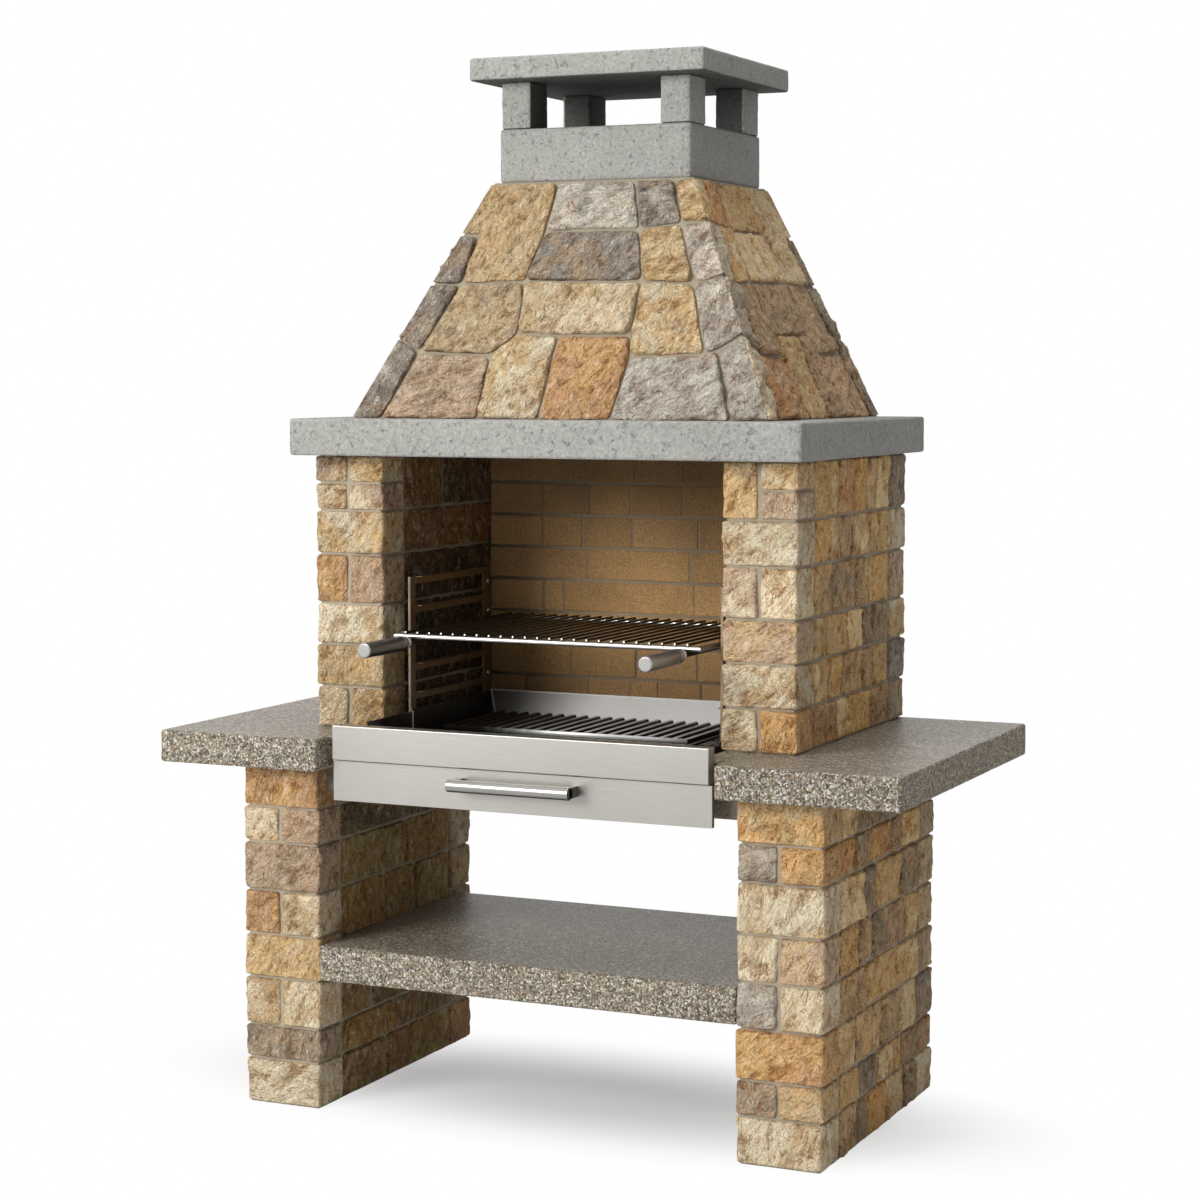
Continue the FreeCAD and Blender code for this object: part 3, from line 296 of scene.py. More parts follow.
def set_stops(ramp, stops):
    """Gives a ramp plain steps of colours on a screen."""
    ramp.interpolation = "CONSTANT"
    while len(ramp.elements) < len(stops):
        ramp.elements.new(0.5)
    for element, (place, colour) in zip(ramp.elements, stops):
        element.position = place
        element.color = screen_colour(*colour)


# Levels of a layered noise at which a stone's face breaks in ledges
LEDGES = (0.40, 0.50, 0.59)


def split_stone():
    """Sandstone and limestone, split by hand: clouded tones, sandy grain, chips, creases darkened brown as
    painted shade, and ridges lightened cream as painted highlight.
    """
    finish = Finish("split_stone")
    where = finish.place()
    depth = finish.attribute("depth", "Fac")
    blotches = finish.fade(finish.clouds(where, 13.0, 3.0, 0.55, 0.6), 0.44, 0.66)
    colour = finish.mix(blotches, finish.attribute("tone"), finish.attribute("cloud_tone"))
    stain = finish.fade(finish.clouds(where, 21.0, 4.0, 0.6, 0.6), 0.55, 0.75)
    colour = finish.tinted(stain * 0.40, colour, RUST)
    turned = finish.node("ShaderNodeVectorRotate", {"rotation_type": "Y_AXIS"}, {
        "Vector": where, "Angle": finish.attribute("tone", "Alpha")})
    strokes = finish.clouds(finish.stretched(turned, (0.42, 1.0, 1.0)), 62.0, 5.0, 0.66, 0.35)
    layers = finish.clouds(finish.stretched(turned, (0.5, 1.0, 1.0)), 34.0, 3.0, 0.58, 0.8)
    # Each ledge gets a painted shadow in the hollow just below it
    ledges, ledge_shadows = 0.0, 0.0
    for level in LEDGES:
        step = finish.fade(layers, level - 0.01, level + 0.01)
        ledges = step + ledges
        ledge_shadows = finish.fade(layers, level - 0.05, level) - step + ledge_shadows
    crumbs = finish.clouds(where, 230.0, 3.0, 0.65, 0.5)
    grain = finish.clouds(where, 600.0, 2.0, 0.6)
    # Painted shade: brown in the clefts, in the low parts of the strokes and between the crumbs
    clefts = 1 - finish.fade(depth, 0.14, 0.56)
    low = 1 - finish.fade(strokes, 0.34, 0.54)
    crease_shade = finish.fade(low * 0.60 + clefts * 0.45 + (0.5 - crumbs) * 0.9, 0.10, 0.90)
    crease_shaded = finish.mix(0.90, colour, screen_colour(*CREASE_SHADE_BROWN), "MULTIPLY")
    colour = finish.mix(crease_shade * 0.74, colour, crease_shaded)
    # Painted highlight: the ridges of the strokes are lightened towards cream
    painted_highlight = finish.fade(strokes + (crumbs - 0.5) * 0.5, 0.50, 0.80)
    colour = finish.mix(painted_highlight * 0.70, colour, finish.tinted(0.65, colour, RIDGE_HIGHLIGHT_CREAM))
    finish.relief(strokes + 0.28 * ledges + 0.22 * crumbs + 0.08 * grain, 1.0, 0.0300)
    speckle = 0.98 + 0.42 * finish.fade(crumbs, 0.28, 0.72) + 0.42 * grain
    # The ledges' painted shadows darken the colour further
    speckle = speckle * (1 - 0.38 * ledge_shadows * (0.35 + 0.65 * low))
    return finish.set(Base_Color=finish.scaled(colour, speckle), Roughness=0.9)


def mortar(name, low, high):
    """Sandy pointing."""
    finish = Finish(name)
    where = finish.place()
    sand = finish.clouds(where, 420.0, 3.0, 0.7)
    patches = finish.clouds(where, 22.0, 4.0, 0.6)
    finish.relief(sand + patches, 0.6, 0.0016)
    colour = finish.scaled(finish.between(patches, low, high), 0.78 + 0.40 * sand)
    return finish.set(Base_Color=colour, Roughness=0.93)


def cast_concrete(name, low, high, shaded_and_sooted):
    """Sand-textured cast concrete with small pits, darkened underneath and towards the flue by painted
    shade that also stands for soot, or without it.
    """
    finish = Finish(name)
    where = finish.place()
    colour = finish.between(finish.clouds(where, 8.0, 5.0, 0.62, 0.4), low, high)
    stipple = finish.clouds(where, 150.0, 4.0, 0.75, 0.3)
    sand = finish.clouds(where, 420.0, 3.0, 0.7)
    pits = finish.fade(finish.clouds(where, 90.0, 4.0, 0.6, 0.6), 0.30, 0.42)
    shade = (0.30 + 1.32 * stipple) * (0.72 + 0.28 * pits) * (0.78 + 0.44 * sand)
    finish.relief(stipple + 0.5 * pits + 0.25 * sand, 0.9, 0.0050)
    # Painted shade, standing also for soot, on the faces that look down and on those that look towards the
    # flue
    if shaded_and_sooted:
        from_flue = finish.stretched(finish.vector("SUBTRACT", where, FLUE), (1.0, 1.0, 0.0))
        outward = finish.vector("DOT_PRODUCT", from_flue, finish.normal(), output="Value")
        shaded_underside = finish.fade(0 - finish.facing("Z"), 0.4, 0.8)
        shade_and_soot = finish.math("MAXIMUM", shaded_underside, finish.fade(0 - outward, 0.02, 0.06))
        shade = shade * (1 - 0.78 * shade_and_soot)
    return finish.set(Base_Color=finish.scaled(colour, shade), Roughness=0.9)


def terrazzo():
    """Washed aggregate: light, dark and tan chips in grey cement.  Faces that look up are ground smooth."""
    finish = Finish("terrazzo")
    where = finish.place()
    bent = finish.bent(where, 190.0, 0.005)
    large_chips, large_pick = finish.chips(finish.cells(bent, 160.0, "Color"), "Red")
    small_chips, _ = finish.chips(finish.cells(bent, 340.0, "Color"), "Green")
    in_chip = 1 - finish.fade(finish.cells(bent, 160.0), 0.40, 0.52)
    colour = finish.mix(in_chip * 0.9, small_chips, large_chips)
    up = finish.fade(finish.facing("Z"), 0.7, 0.95)
    colour = finish.tinted(0.10 + 0.12 * up, colour, CEMENT)
    patches = finish.clouds(where, 6.0, 4.0, 0.6)
    finish.relief((in_chip * 0.6 + large_pick * 0.6) * (1 - 0.7 * up), 0.7, 0.0026)
    shade = (0.86 + 0.28 * patches) * (1 - 0.12 * up)
    return finish.set(Base_Color=finish.scaled(colour, shade), Roughness=0.75 - 0.33 * up)


def firebrick():
    """Fired clay with speckles, each brick in its own tone, darker towards the top with painted shade that
    also stands for soot, and darker towards the bottom.
    """
    finish = Finish("firebrick")
    where = finish.place()
    height = finish.along(where, "Z")
    grain = finish.clouds(where, 260.0, 4.0, 0.75)
    patches = finish.clouds(where, 12.0, 4.0, 0.6)
    specks = finish.fade(finish.cells(where, 150.0), 0.10, 0.16)
    shade = 0.58 + 0.80 * finish.fade(grain, 0.28, 0.72)
    shade = shade * (0.88 + 0.22 * patches) * (0.80 + 0.20 * specks)
    # Painted shade under the hood, standing also for soot, darkens the bricks towards the top; they are
    # also darker towards the bottom
    shade_and_soot = finish.fade(height + 0.5 * finish.clouds(where, 4.0, 3.0, 0.5, 0.5), 1.24, 1.62)
    darker_low = 1 - finish.fade(height, 0.80, 0.96)
    clay = finish.scaled(finish.attribute("tone"), shade)
    finish.relief(grain + specks * 0.3, 0.5, 0.0020)
    return finish.set(Base_Color=finish.tinted(shade_and_soot * 0.55 + darker_low * 0.30, clay, BRICK_SHADE_AND_SOOT), Roughness=0.9)


def brushed_steel(name, low, high, streaks, roughness, metallic):
    """Stainless steel, brushed along one direction, with a broad soft painted sheen in its colour."""
    finish = Finish(name)
    where = finish.place()
    lines = finish.brushing(where, streaks)
    painted_sheen = finish.clouds(where, 2.6, 2.0, 0.5, 0.4)
    finish.relief(lines, 0.06, 0.0006)
    # The sheen is painted: broad lighter and darker patches in the colour, which also vary the roughness
    return finish.set(Base_Color=finish.between(lines * 0.5 + painted_sheen * 0.5, low, high), Metallic=metallic,
                      Roughness=roughness + 0.12 * lines + 0.05 * painted_sheen)


def smoked_steel(name, low, high, glint_colour, left_of=None):
    """Steel brown from smoke, with a painted glint where cut ends face the front, all over or left of a
    place.
    """
    finish = Finish(name)
    where = finish.place()
    stains = finish.clouds(where, 34.0, 4.0, 0.6)
    # Painted glint: cut ends that face the front are lighter and more mirror-like
    edge_glint = finish.fade(0 - finish.facing("Y"), 0.55, 0.85)
    if left_of is not None:
        edge_glint = edge_glint * (finish.along(where, "X") < left_of)
    colour = finish.tinted(edge_glint, finish.between(stains, low, high), glint_colour)
    finish.relief(stains, 0.1, 0.0006)
    return finish.set(Base_Color=colour, Metallic=0.85 + 0.10 * edge_glint,
                      Roughness=0.36 + 0.14 * stains - 0.16 * edge_glint)


def ember_steel():
    """The fire tray's sheet: near white as a painted reflection, and darkened towards its left end by
    painted shade.
    """
    finish = Finish("ember_sheet")
    where = finish.place()
    lines = finish.brushing(where, ALONG_X)
    stains = finish.clouds(where, 7.0, 4.0, 0.6, 0.4)
    # Painted shade: the sheet is darkened towards its left end
    shade_to_left = 1 - finish.fade(finish.along(where, "X") + 0.10 * stains, -0.30, 0.02)
    colour = finish.tinted(shade_to_left * 0.90, finish.between(lines, BRIGHT_LOW, BRIGHT), LEFT_SHADE_GREY)
    finish.relief(lines, 0.06, 0.0006)
    return finish.set(Base_Color=colour, Metallic=0.45 * shade_to_left, Roughness=0.34 + 0.12 * lines)


def charcoal_steel():
    """Bars of the charcoal grate: a painted highlight on their tops and fronts, darkened towards the left
    by painted shade, and black with soot on their sides.
    """
    finish = Finish("charcoal_steel")
    where = finish.place()
    soot = finish.clouds(where, 60.0, 4.0, 0.7)
    # Painted shade: the highlight darkens towards the left end
    lit_to_right = finish.fade(finish.along(where, "X") + 0.12 * soot, -0.14, 0.12)
    # Painted highlight on the faces that look up and on those that look to the front
    top = finish.fade(finish.facing("Z") - 0.10 * soot, 0.60, 0.70)
    front = finish.fade(0 - finish.facing("Y"), 0.55, 0.80)
    painted_highlight = finish.between(lit_to_right, LEFT_TOP_SHADE, BRIGHT)
    bright = finish.math("MAXIMUM", top, front * 0.8)
    finish.relief(soot, 0.12, 0.0008)
    return finish.set(Base_Color=finish.mix(bright, screen_colour(*SOOTED), painted_highlight), Metallic=0.5 * front,
                      Roughness=0.34 + 0.16 * soot, Specular_IOR_Level=0.1)


def handle_steel():
    """The drawer's handle: bright along its front and top, with painted shade on its ends and underneath.
    """
    finish = Finish("handle_steel")
    lines = finish.brushing(finish.place(), ALONG_X)
    # Painted shade on the ends and the underside
    ends = finish.fade(finish.math("ABSOLUTE", finish.facing("X")), 0.6, 0.9)
    shaded_underside = finish.fade(0 - finish.facing("Z"), 0.35, 0.85)
    colour = finish.tinted(shaded_underside * 0.85, finish.between(lines, HANDLE_LOW, HANDLE_HIGH), HANDLE_UNDER_SHADE)
    colour = finish.tinted(ends, colour, HANDLE_END_SHADE)
    return finish.set(Base_Color=colour, Metallic=1.0, Roughness=0.24 + 0.10 * lines)


# Each kind's darker and lighter colour
MORTARS = {
    "mortar": ((160, 149, 129), (186, 174, 153)),
    "fire_mortar": ((146, 130, 106), (170, 153, 128)),
}
# The two colours, and whether it gets painted shade, also standing for soot, underneath and towards the
# flue
CONCRETES = {
    "cast_concrete": ((164, 163, 157), (190, 189, 183), False),
    # The darker concrete is a painted shade for the bearers under the worktop; the rear wall gets it too
    "raw_concrete": ((122, 114, 100), (146, 138, 123), False),
    "smoked_concrete": ((164, 163, 157), (190, 189, 183), True),
}
# The two colours, the way of the brushing, the roughness, and how metallic it is
BRUSHED = {
    "stainless_sheet": ((150, 147, 141), (194, 191, 185), ALONG_X, 0.28, 1.0),
    "steel_rod": ((176, 174, 170), (212, 210, 206), ALONG_Y, 0.24, 1.0),
    "grip_steel": ((132, 130, 126), (178, 176, 172), ALONG_Y, 0.30, 1.0),
    # The welds are near white, a painted glint along the ember plate's edges and the guard
    "weld_steel": ((206, 204, 200), (236, 234, 230), ALONG_Y, 0.36, 0.2),
}
# The two colours, the colour of the painted glint on cut ends, and how far to the right that glint reaches
SMOKED = {
    # The tray's walls are dark, a painted shade, with the painted glint on the left wall's front edge
    "tray_wall": ((52, 50, 47), (80, 77, 72), (220, 218, 212), 0.0),
    # The black sheet is a painted shade on the tray's floor, between the charcoal bars
    "sooted_sheet": ((26, 24, 21), (46, 42, 37), (46, 42, 37)),
    "smoked_sheet": ((112, 95, 73), (148, 128, 101), (236, 233, 227), RACK_EDGE),
    # The handle's brackets are dark grey, a painted shade
    "bracket_steel": ((66, 65, 62), (92, 90, 87), (92, 90, 87)),
    "grill_rod": ((38, 34, 28), (62, 56, 47), (240, 238, 233)),
}
FINISHES = {
    "split_stone": split_stone(), "terrazzo": terrazzo(), "firebrick": firebrick(),
    "ember_sheet": ember_steel(), "handle_steel": handle_steel(), "charcoal_steel": charcoal_steel(),
}
KINDS = ((mortar, MORTARS), (cast_concrete, CONCRETES), (brushed_steel, BRUSHED), (smoked_steel, SMOKED))
for make_finish, recipes in KINDS:
    FINISHES.update({name: make_finish(name, *recipe) for name, recipe in recipes.items()})


# Meshes

class Shape:
    """Points and faces of one piece, with a tone and a depth of relief at each point."""

    def __init__(self):
        self.points = []
        self.faces = []
        self.tones = []
        self.cloud_tones = []
        self.depths = []

    def ring(self, points, look=None, depths=None):
        first = len(self.points)
        self.points.extend(points)
        if look:
            self.tones.extend([look[0]] * len(points))
            self.cloud_tones.extend([look[1]] * len(points))
            self.depths.extend(depths)
        return list(range(first, len(self.points)))

    def skin(self, rings):
        """Quads from each closed ring to the next, all of the same length."""
        for near, far in zip(rings, rings[1:]):
            count = len(near)
            for i in range(count):
                j = (i + 1) % count
                self.faces.append((near[i], near[j], far[j], far[i]))

    def close(self, rings):
        """A skin over the rings with a face at each end."""
        self.skin(rings)
        self.faces.append(tuple(reversed(rings[0])))
        self.faces.append(tuple(rings[-1]))

    def cover(self, net, places, rim):
        """Triangles over the inside of a rim, the first of the places, through all the others."""
        edges = [(i, (i + 1) % rim) for i in range(rim)]
        _, _, faces, sources, _, _ = delaunay_2d_cdt(places, edges, [], 1, 1e-7)
        for face in faces:
            self.faces.append(tuple(net[sources[i][0]] for i in face))

    def piece(self, name, flat=False):
        mesh = bpy.data.meshes.new(name)
        mesh.from_pydata(self.points, [], self.faces)
        for label, values in (("tone", self.tones), ("cloud_tone", self.cloud_tones)):
            if values:
                layer = mesh.attributes.new(label, "FLOAT_COLOR", "POINT")
                layer.data.foreach_set("color", [part for value in values for part in value])
        if self.depths:
            layer = mesh.attributes.new("depth", "FLOAT", "POINT")
            layer.data.foreach_set("value", self.depths)
        return solid_piece(name, mesh, flat)


def solid_piece(name, mesh, flat):
    """Links a mesh as an object, its faces turned outwards and smooth, or flat up to the rounded edges."""
    work = bmesh.new()
    work.from_mesh(mesh)
    bmesh.ops.recalc_face_normals(work, faces=work.faces)
    for face in work.faces:
        face.smooth = True
    work.to_mesh(mesh)
    work.free()
    mesh.update()
    piece = bpy.data.objects.new(name, mesh)
    bpy.context.scene.collection.objects.link(piece)
    if flat:
        piece.modifiers.new("flat_faces", "WEIGHTED_NORMAL")
    return piece


def piece_of(name, work):
    """A piece from a mesh in work, which this ends."""
    mesh = bpy.data.meshes.new(name)
    work.to_mesh(mesh)
    work.free()
    return solid_piece(name, mesh, True)


def dress(piece, finish, slot, *nodes):
    """The piece gets its finish, stands for CAD nodes and moves with their body."""
    piece.data.materials.append(FINISHES[finish])
    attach(piece, BODY_OF[nodes[0]])
    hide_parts(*nodes)


def add_detail(piece, finish, body):
    """A detail that stands for no CAD node."""
    piece.data.materials.append(FINISHES[finish])
    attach(piece, body)


# Levels nearer than this are the same, and points nearer than the gap are one
NEAR = 1e-4
DOUBLE_GAP = 1e-5
# Faces that turn by less than this, in radians, are one flat face
FLAT_TURN = 0.01


class Solid:
    """One of the separate solids of a CAD node: its corner points and its flat faces."""

    def __init__(self, verts):
        self.points = [vert.co.copy() for vert in verts]
        self.faces = []
        for face in {face for vert in verts for face in vert.link_faces}:
            corners = [vert.co.copy() for vert in face.verts]
            self.faces.append((face.normal.copy(), face.calc_area(), corners))
        self.low, self.high = limits(self.points)
        self.centre = (self.low + self.high) / 2

    def face(self, outward):
        """The corners, in order, of the largest face that looks in a direction."""
        looking = [(area, corners) for normal, area, corners in self.faces if normal.dot(outward) > 0.99]
        return max(looking, key=lambda item: item[0])[1]

    def depth(self, outward):
        reach = [point.dot(outward) for point in self.points]
        return max(reach) - min(reach)


def plain_mesh(node):
    """A CAD node's mesh with its double points joined and each flat face whole."""
    work = bmesh.new()
    work.from_mesh(frame["nodes"][node].data)
    bmesh.ops.remove_doubles(work, verts=work.verts, dist=DOUBLE_GAP)
    bmesh.ops.dissolve_limit(work, angle_limit=FLAT_TURN, verts=work.verts, edges=work.edges)
    return work


def solids_of(node):
    """The separate solids of a CAD node, from the bottom up, left to right and front to back."""
    work = plain_mesh(node)
    left = set(work.verts)
    solids = []
    for start in work.verts:
        if start not in left:
            continue
        left.remove(start)
        found, queue = [start], [start]
        while queue:
            for edge in queue.pop().link_edges:
                for vert in edge.verts:
                    if vert in left:
                        left.remove(vert)
                        found.append(vert)
                        queue.append(vert)
        solids.append(Solid(found))
    work.free()
    solids.sort(key=lambda solid: tuple(round(solid.centre[axis], 3) for axis in (2, 0, 1)))
    return solids


def points_of(node):
    return [vert.co for vert in frame["nodes"][node].data.vertices]


def limits(points):
    axes = range(len(points[0]))
    low = Vector([min(point[axis] for point in points) for axis in axes])
    high = Vector([max(point[axis] for point in points) for axis in axes])
    return low, high


def rectangle(low_x, high_x, low_y, high_y):
    plan = ((low_x, low_y), (high_x, low_y), (high_x, high_y), (low_x, high_y))
    return [Vector(corner) for corner in plan]


def footprint(low, high):
    """The plan of a box."""
    return rectangle(low.x, high.x, low.y, high.y)


def anticlockwise(corners):
    area = sum(corners[i - 1].cross(corners[i]) for i in range(len(corners)))
    return list(corners) if area > 0 else list(reversed(corners))


def grow_outline(corners, reach):
    """Pushes each edge of an anticlockwise outline out by its own distance."""
    count = len(corners)
    lines = []
    for i in range(count):
        along = (corners[(i + 1) % count] - corners[i]).normalized()
        away = Vector((along.y, -along.x))
        lines.append((corners[i] + away * reach[i], along))
    grown_corners = []
    for i in range(count):
        (first, along), (second, ahead) = lines[i - 1], lines[i]
        turn = along.cross(ahead)
        if abs(turn) < 0.05:
            grown_corners.append(second)
        else:
            grown_corners.append(first + along * ((second - first).cross(ahead) / turn))
    return grown_corners


# How finely a stone's middle is searched for
CENTRE_STEPS = 20


def star_centre(corners):
    """A place from which the whole of an anticlockwise outline can be seen, well away from its edges."""
    low, high = limits(corners)
    best, best_gap = None, -1.0
    for i in range(1, CENTRE_STEPS):
        for j in range(1, CENTRE_STEPS):
            across = low.x + (high.x - low.x) * i / CENTRE_STEPS
            place = Vector((across, low.y + (high.y - low.y) * j / CENTRE_STEPS))
            gaps = []
            for k, corner in enumerate(corners):
                along = (corner - corners[k - 1]).normalized()
                gaps.append(along.cross(place - corners[k - 1]))
            if min(gaps) > best_gap:
                best, best_gap = place, min(gaps)
    return best


# Steps round a corner, and how much of an edge its rounding may take
CORNER_STEPS = (0.0, 0.33, 0.67, 1.0)
CORNER_SHARE = 0.45


def round_outline(corners, radius, spacing):
    """An anticlockwise outline with its corners rounded, as points with their outward directions."""
    count = len(corners)
    radii = radius if isinstance(radius, list) else [radius] * count
    ends = []
    for i, corner in enumerate(corners):
        back = corners[i - 1] - corner
        ahead = corners[(i + 1) % count] - corner
        reach = min(radii[i], back.length * CORNER_SHARE, ahead.length * CORNER_SHARE)
        ends.append((corner + back.normalized() * reach, corner + ahead.normalized() * reach))
    outline = []
    for i, corner in enumerate(corners):
        start, stop = ends[i]
        for share in CORNER_STEPS:
            bend = corner * (2 * share * (1 - share))
            outline.append(start * (1 - share) ** 2 + bend + stop * share ** 2)
        run = ends[(i + 1) % count][0] - stop
        steps = max(1, round(run.length / spacing))
        for step in range(1, steps):
            outline.append(stop + run * (step / steps))
    result = []
    for i, point in enumerate(outline):
        along = (outline[(i + 1) % len(outline)] - outline[i - 1]).normalized()
        result.append((point, Vector((along.y, -along.x))))
    return result


def rounded_levels(low, high, edge, angles, spacing):
    """Insets and levels up a side: a rounded edge, even steps and a rounded edge again."""
    edges = []
    for angle in angles:
        swing = math.radians(angle)
        edges.append((edge * (1 - math.sin(swing)), edge * (1 - math.cos(swing))))
    run = high - low - 2 * edge
    steps = max(2, round(run / spacing))
    levels = [(inset, low + rise) for inset, rise in edges]
    levels.extend((0.0, low + edge + run * step / steps) for step in range(steps + 1))
    levels.extend((inset, high - rise) for inset, rise in reversed(edges))
    return levels


def block(shape, low, high, bevel=0.001):
    """A block with small bevels."""
    rings = []
    for inset, level in ((bevel, low.z), (0.0, low.z + bevel), (0.0, high.z - bevel), (bevel, high.z)):
        ring = []
        for corner in footprint(low, high):
            inward = Vector((math.copysign(inset, low.x + high.x - 2 * corner.x),
                             math.copysign(inset, low.y + high.y - 2 * corner.y)))
            ring.append(Vector((*(corner + inward), level)))
        rings.append(shape.ring(ring))
    shape.close(rings)


# Stones

# Breaks of a stone's face, the planes of each, and the most that these lean
BREAKS = 3
PLANES = 3
LEAN = 0.18
# Strokes and creases to a metre, along a stroke and aside from it, and how much they stand out
STROKES = (15.0, 42.0)
STROKE_SHARE = 0.9
CREASES = (24.0, 60.0)
CREASE_LEVEL = 0.22
CREASE_SHARE = 0.5
# Chips on a face: how many to a metre, and how much they stand out
FACE_CHIPS = ((38.0, 0.7), (80.0, 0.4))
# Where hollows begin to level out, and how softly
HOLLOW = -0.0024
HOLLOW_EASE = 0.0012


class SplitFace:
    """The broken face of one stone: flat clefts that meet in ridges and creases, roughened by noise."""

    def __init__(self, chance, bulge, rough):
        self.shift = Vector((chance.uniform(0, 50), chance.uniform(0, 50), chance.uniform(0, 50)))
        slant = chance.uniform(0.3, 1.2)
        self.along = Vector((math.cos(slant), math.sin(slant)))
        self.bulge = bulge
        self.rough = rough
        self.breaks = []
        for _ in range(BREAKS):
            planes = []
            for _ in range(PLANES):
                rise = chance.uniform(-0.5, 1.0) * bulge
                planes.append((rise, chance.uniform(-LEAN, LEAN), chance.uniform(-LEAN, LEAN)))
            self.breaks.append(planes)

    def drawn_out(self, across, up, scales, layer):
        """A place in a noise whose marks run along the strokes."""
        run = across * self.along.x + up * self.along.y
        aside = up * self.along.x - across * self.along.y
        return Vector((run * scales[0], aside * scales[1], layer)) + self.shift

    def height(self, across, up, point):
        """How far the face stands out at a place on it, and how high the place is within its roughness."""
        clefts = []
        for planes in self.breaks:
            clefts.append(min(rise + across * lean + up * tip for rise, lean, tip in planes))
        level = max(-self.bulge, min(self.bulge, max(clefts)))
        strokes = noise.fractal(self.drawn_out(across, up, STROKES, 0.0), 0.7, 2.1, 4)
        creases = CREASE_LEVEL - abs(noise.noise(self.drawn_out(across, up, CREASES, 9.0)))
        roughness = strokes * STROKE_SHARE + creases * CREASE_SHARE
        for chips_per_metre, share in FACE_CHIPS:
            scaled = (point + self.shift) * chips_per_metre
            seat = noise.voronoi(scaled)[1][0]
            roughness += (scaled - seat).dot(noise.noise_vector(seat * 3.7)) * share
        rise = level + self.rough * roughness
        if rise < HOLLOW:
            rise = HOLLOW + HOLLOW_EASE * (math.exp((rise - HOLLOW) / HOLLOW_EASE) - 1)
        return rise, roughness


def stone_look(tone, chance, shade):
    """A stone's tone and the tone that clouds it, a little lighter or darker, with the light or shade
    painted in for its place, and its strokes' slant.
    """
    look = []
    slant = chance.uniform(0.3, 1.3)
    for name in (tone, chance.choice(CLOUDS[tone])):
        light = chance.uniform(0.90, 1.10)
        warm = chance.uniform(-0.03, 0.03)
        red, green, blue, _ = screen_colour(*TONES[name])
        look.append((red * light * (1 + warm) * shade[0], green * light * shade[1],
                     blue * light * (1 - warm) * shade[2], slant))
    return look


# A slip's rounded rim, as angles from its side to its face, and that of a corner stone
RIM = (0.0, 30.0, 62.0)
BLOCK_RIM = (0, 30, 60)
# Facing stones on the legs and piers, rubble on the hood, corner stones and firebricks
SLIP = {
    "grow": 0.0054, "upright": 0.0042, "corner": 0.008, "rim": 0.0045,
    "bulge": 0.0034, "rough": 0.0046, "spacing": 0.0060, "sway": 0.0022,
}
RUBBLE = {
    "grow": 0.0056, "upright": 0.0056, "corner": 0.012, "rim": 0.0045,
    "bulge": 0.0048, "rough": 0.0066, "spacing": 0.0052, "sway": 0.0024,
}
QUOIN = {"rim": 0.0052, "bulge": 0.0030, "rough": 0.0046, "spacing": 0.0056}
BRICK = {"rim": 0.0016, "bulge": 0.0006, "rough": 0.0007, "spacing": 0.0056}
# How near a hip a corner lies on it, how far an edge there is held straight, and how round a corner is
HIP_NEAR = 0.004
HIP_HOLD = 0.010
HIP_ROUND = 0.004
# The waves of a stone's edges to a metre, and how far a corner stone's beds sway
WAVES = 30.0
BED_SWAY = 0.0014
# The depth that a face's mean level and its rim are marked with, and how much its roughness adds
FACE_MARK = 0.5
RIM_MARK = 0.36
ROUGH_MARK = 0.4


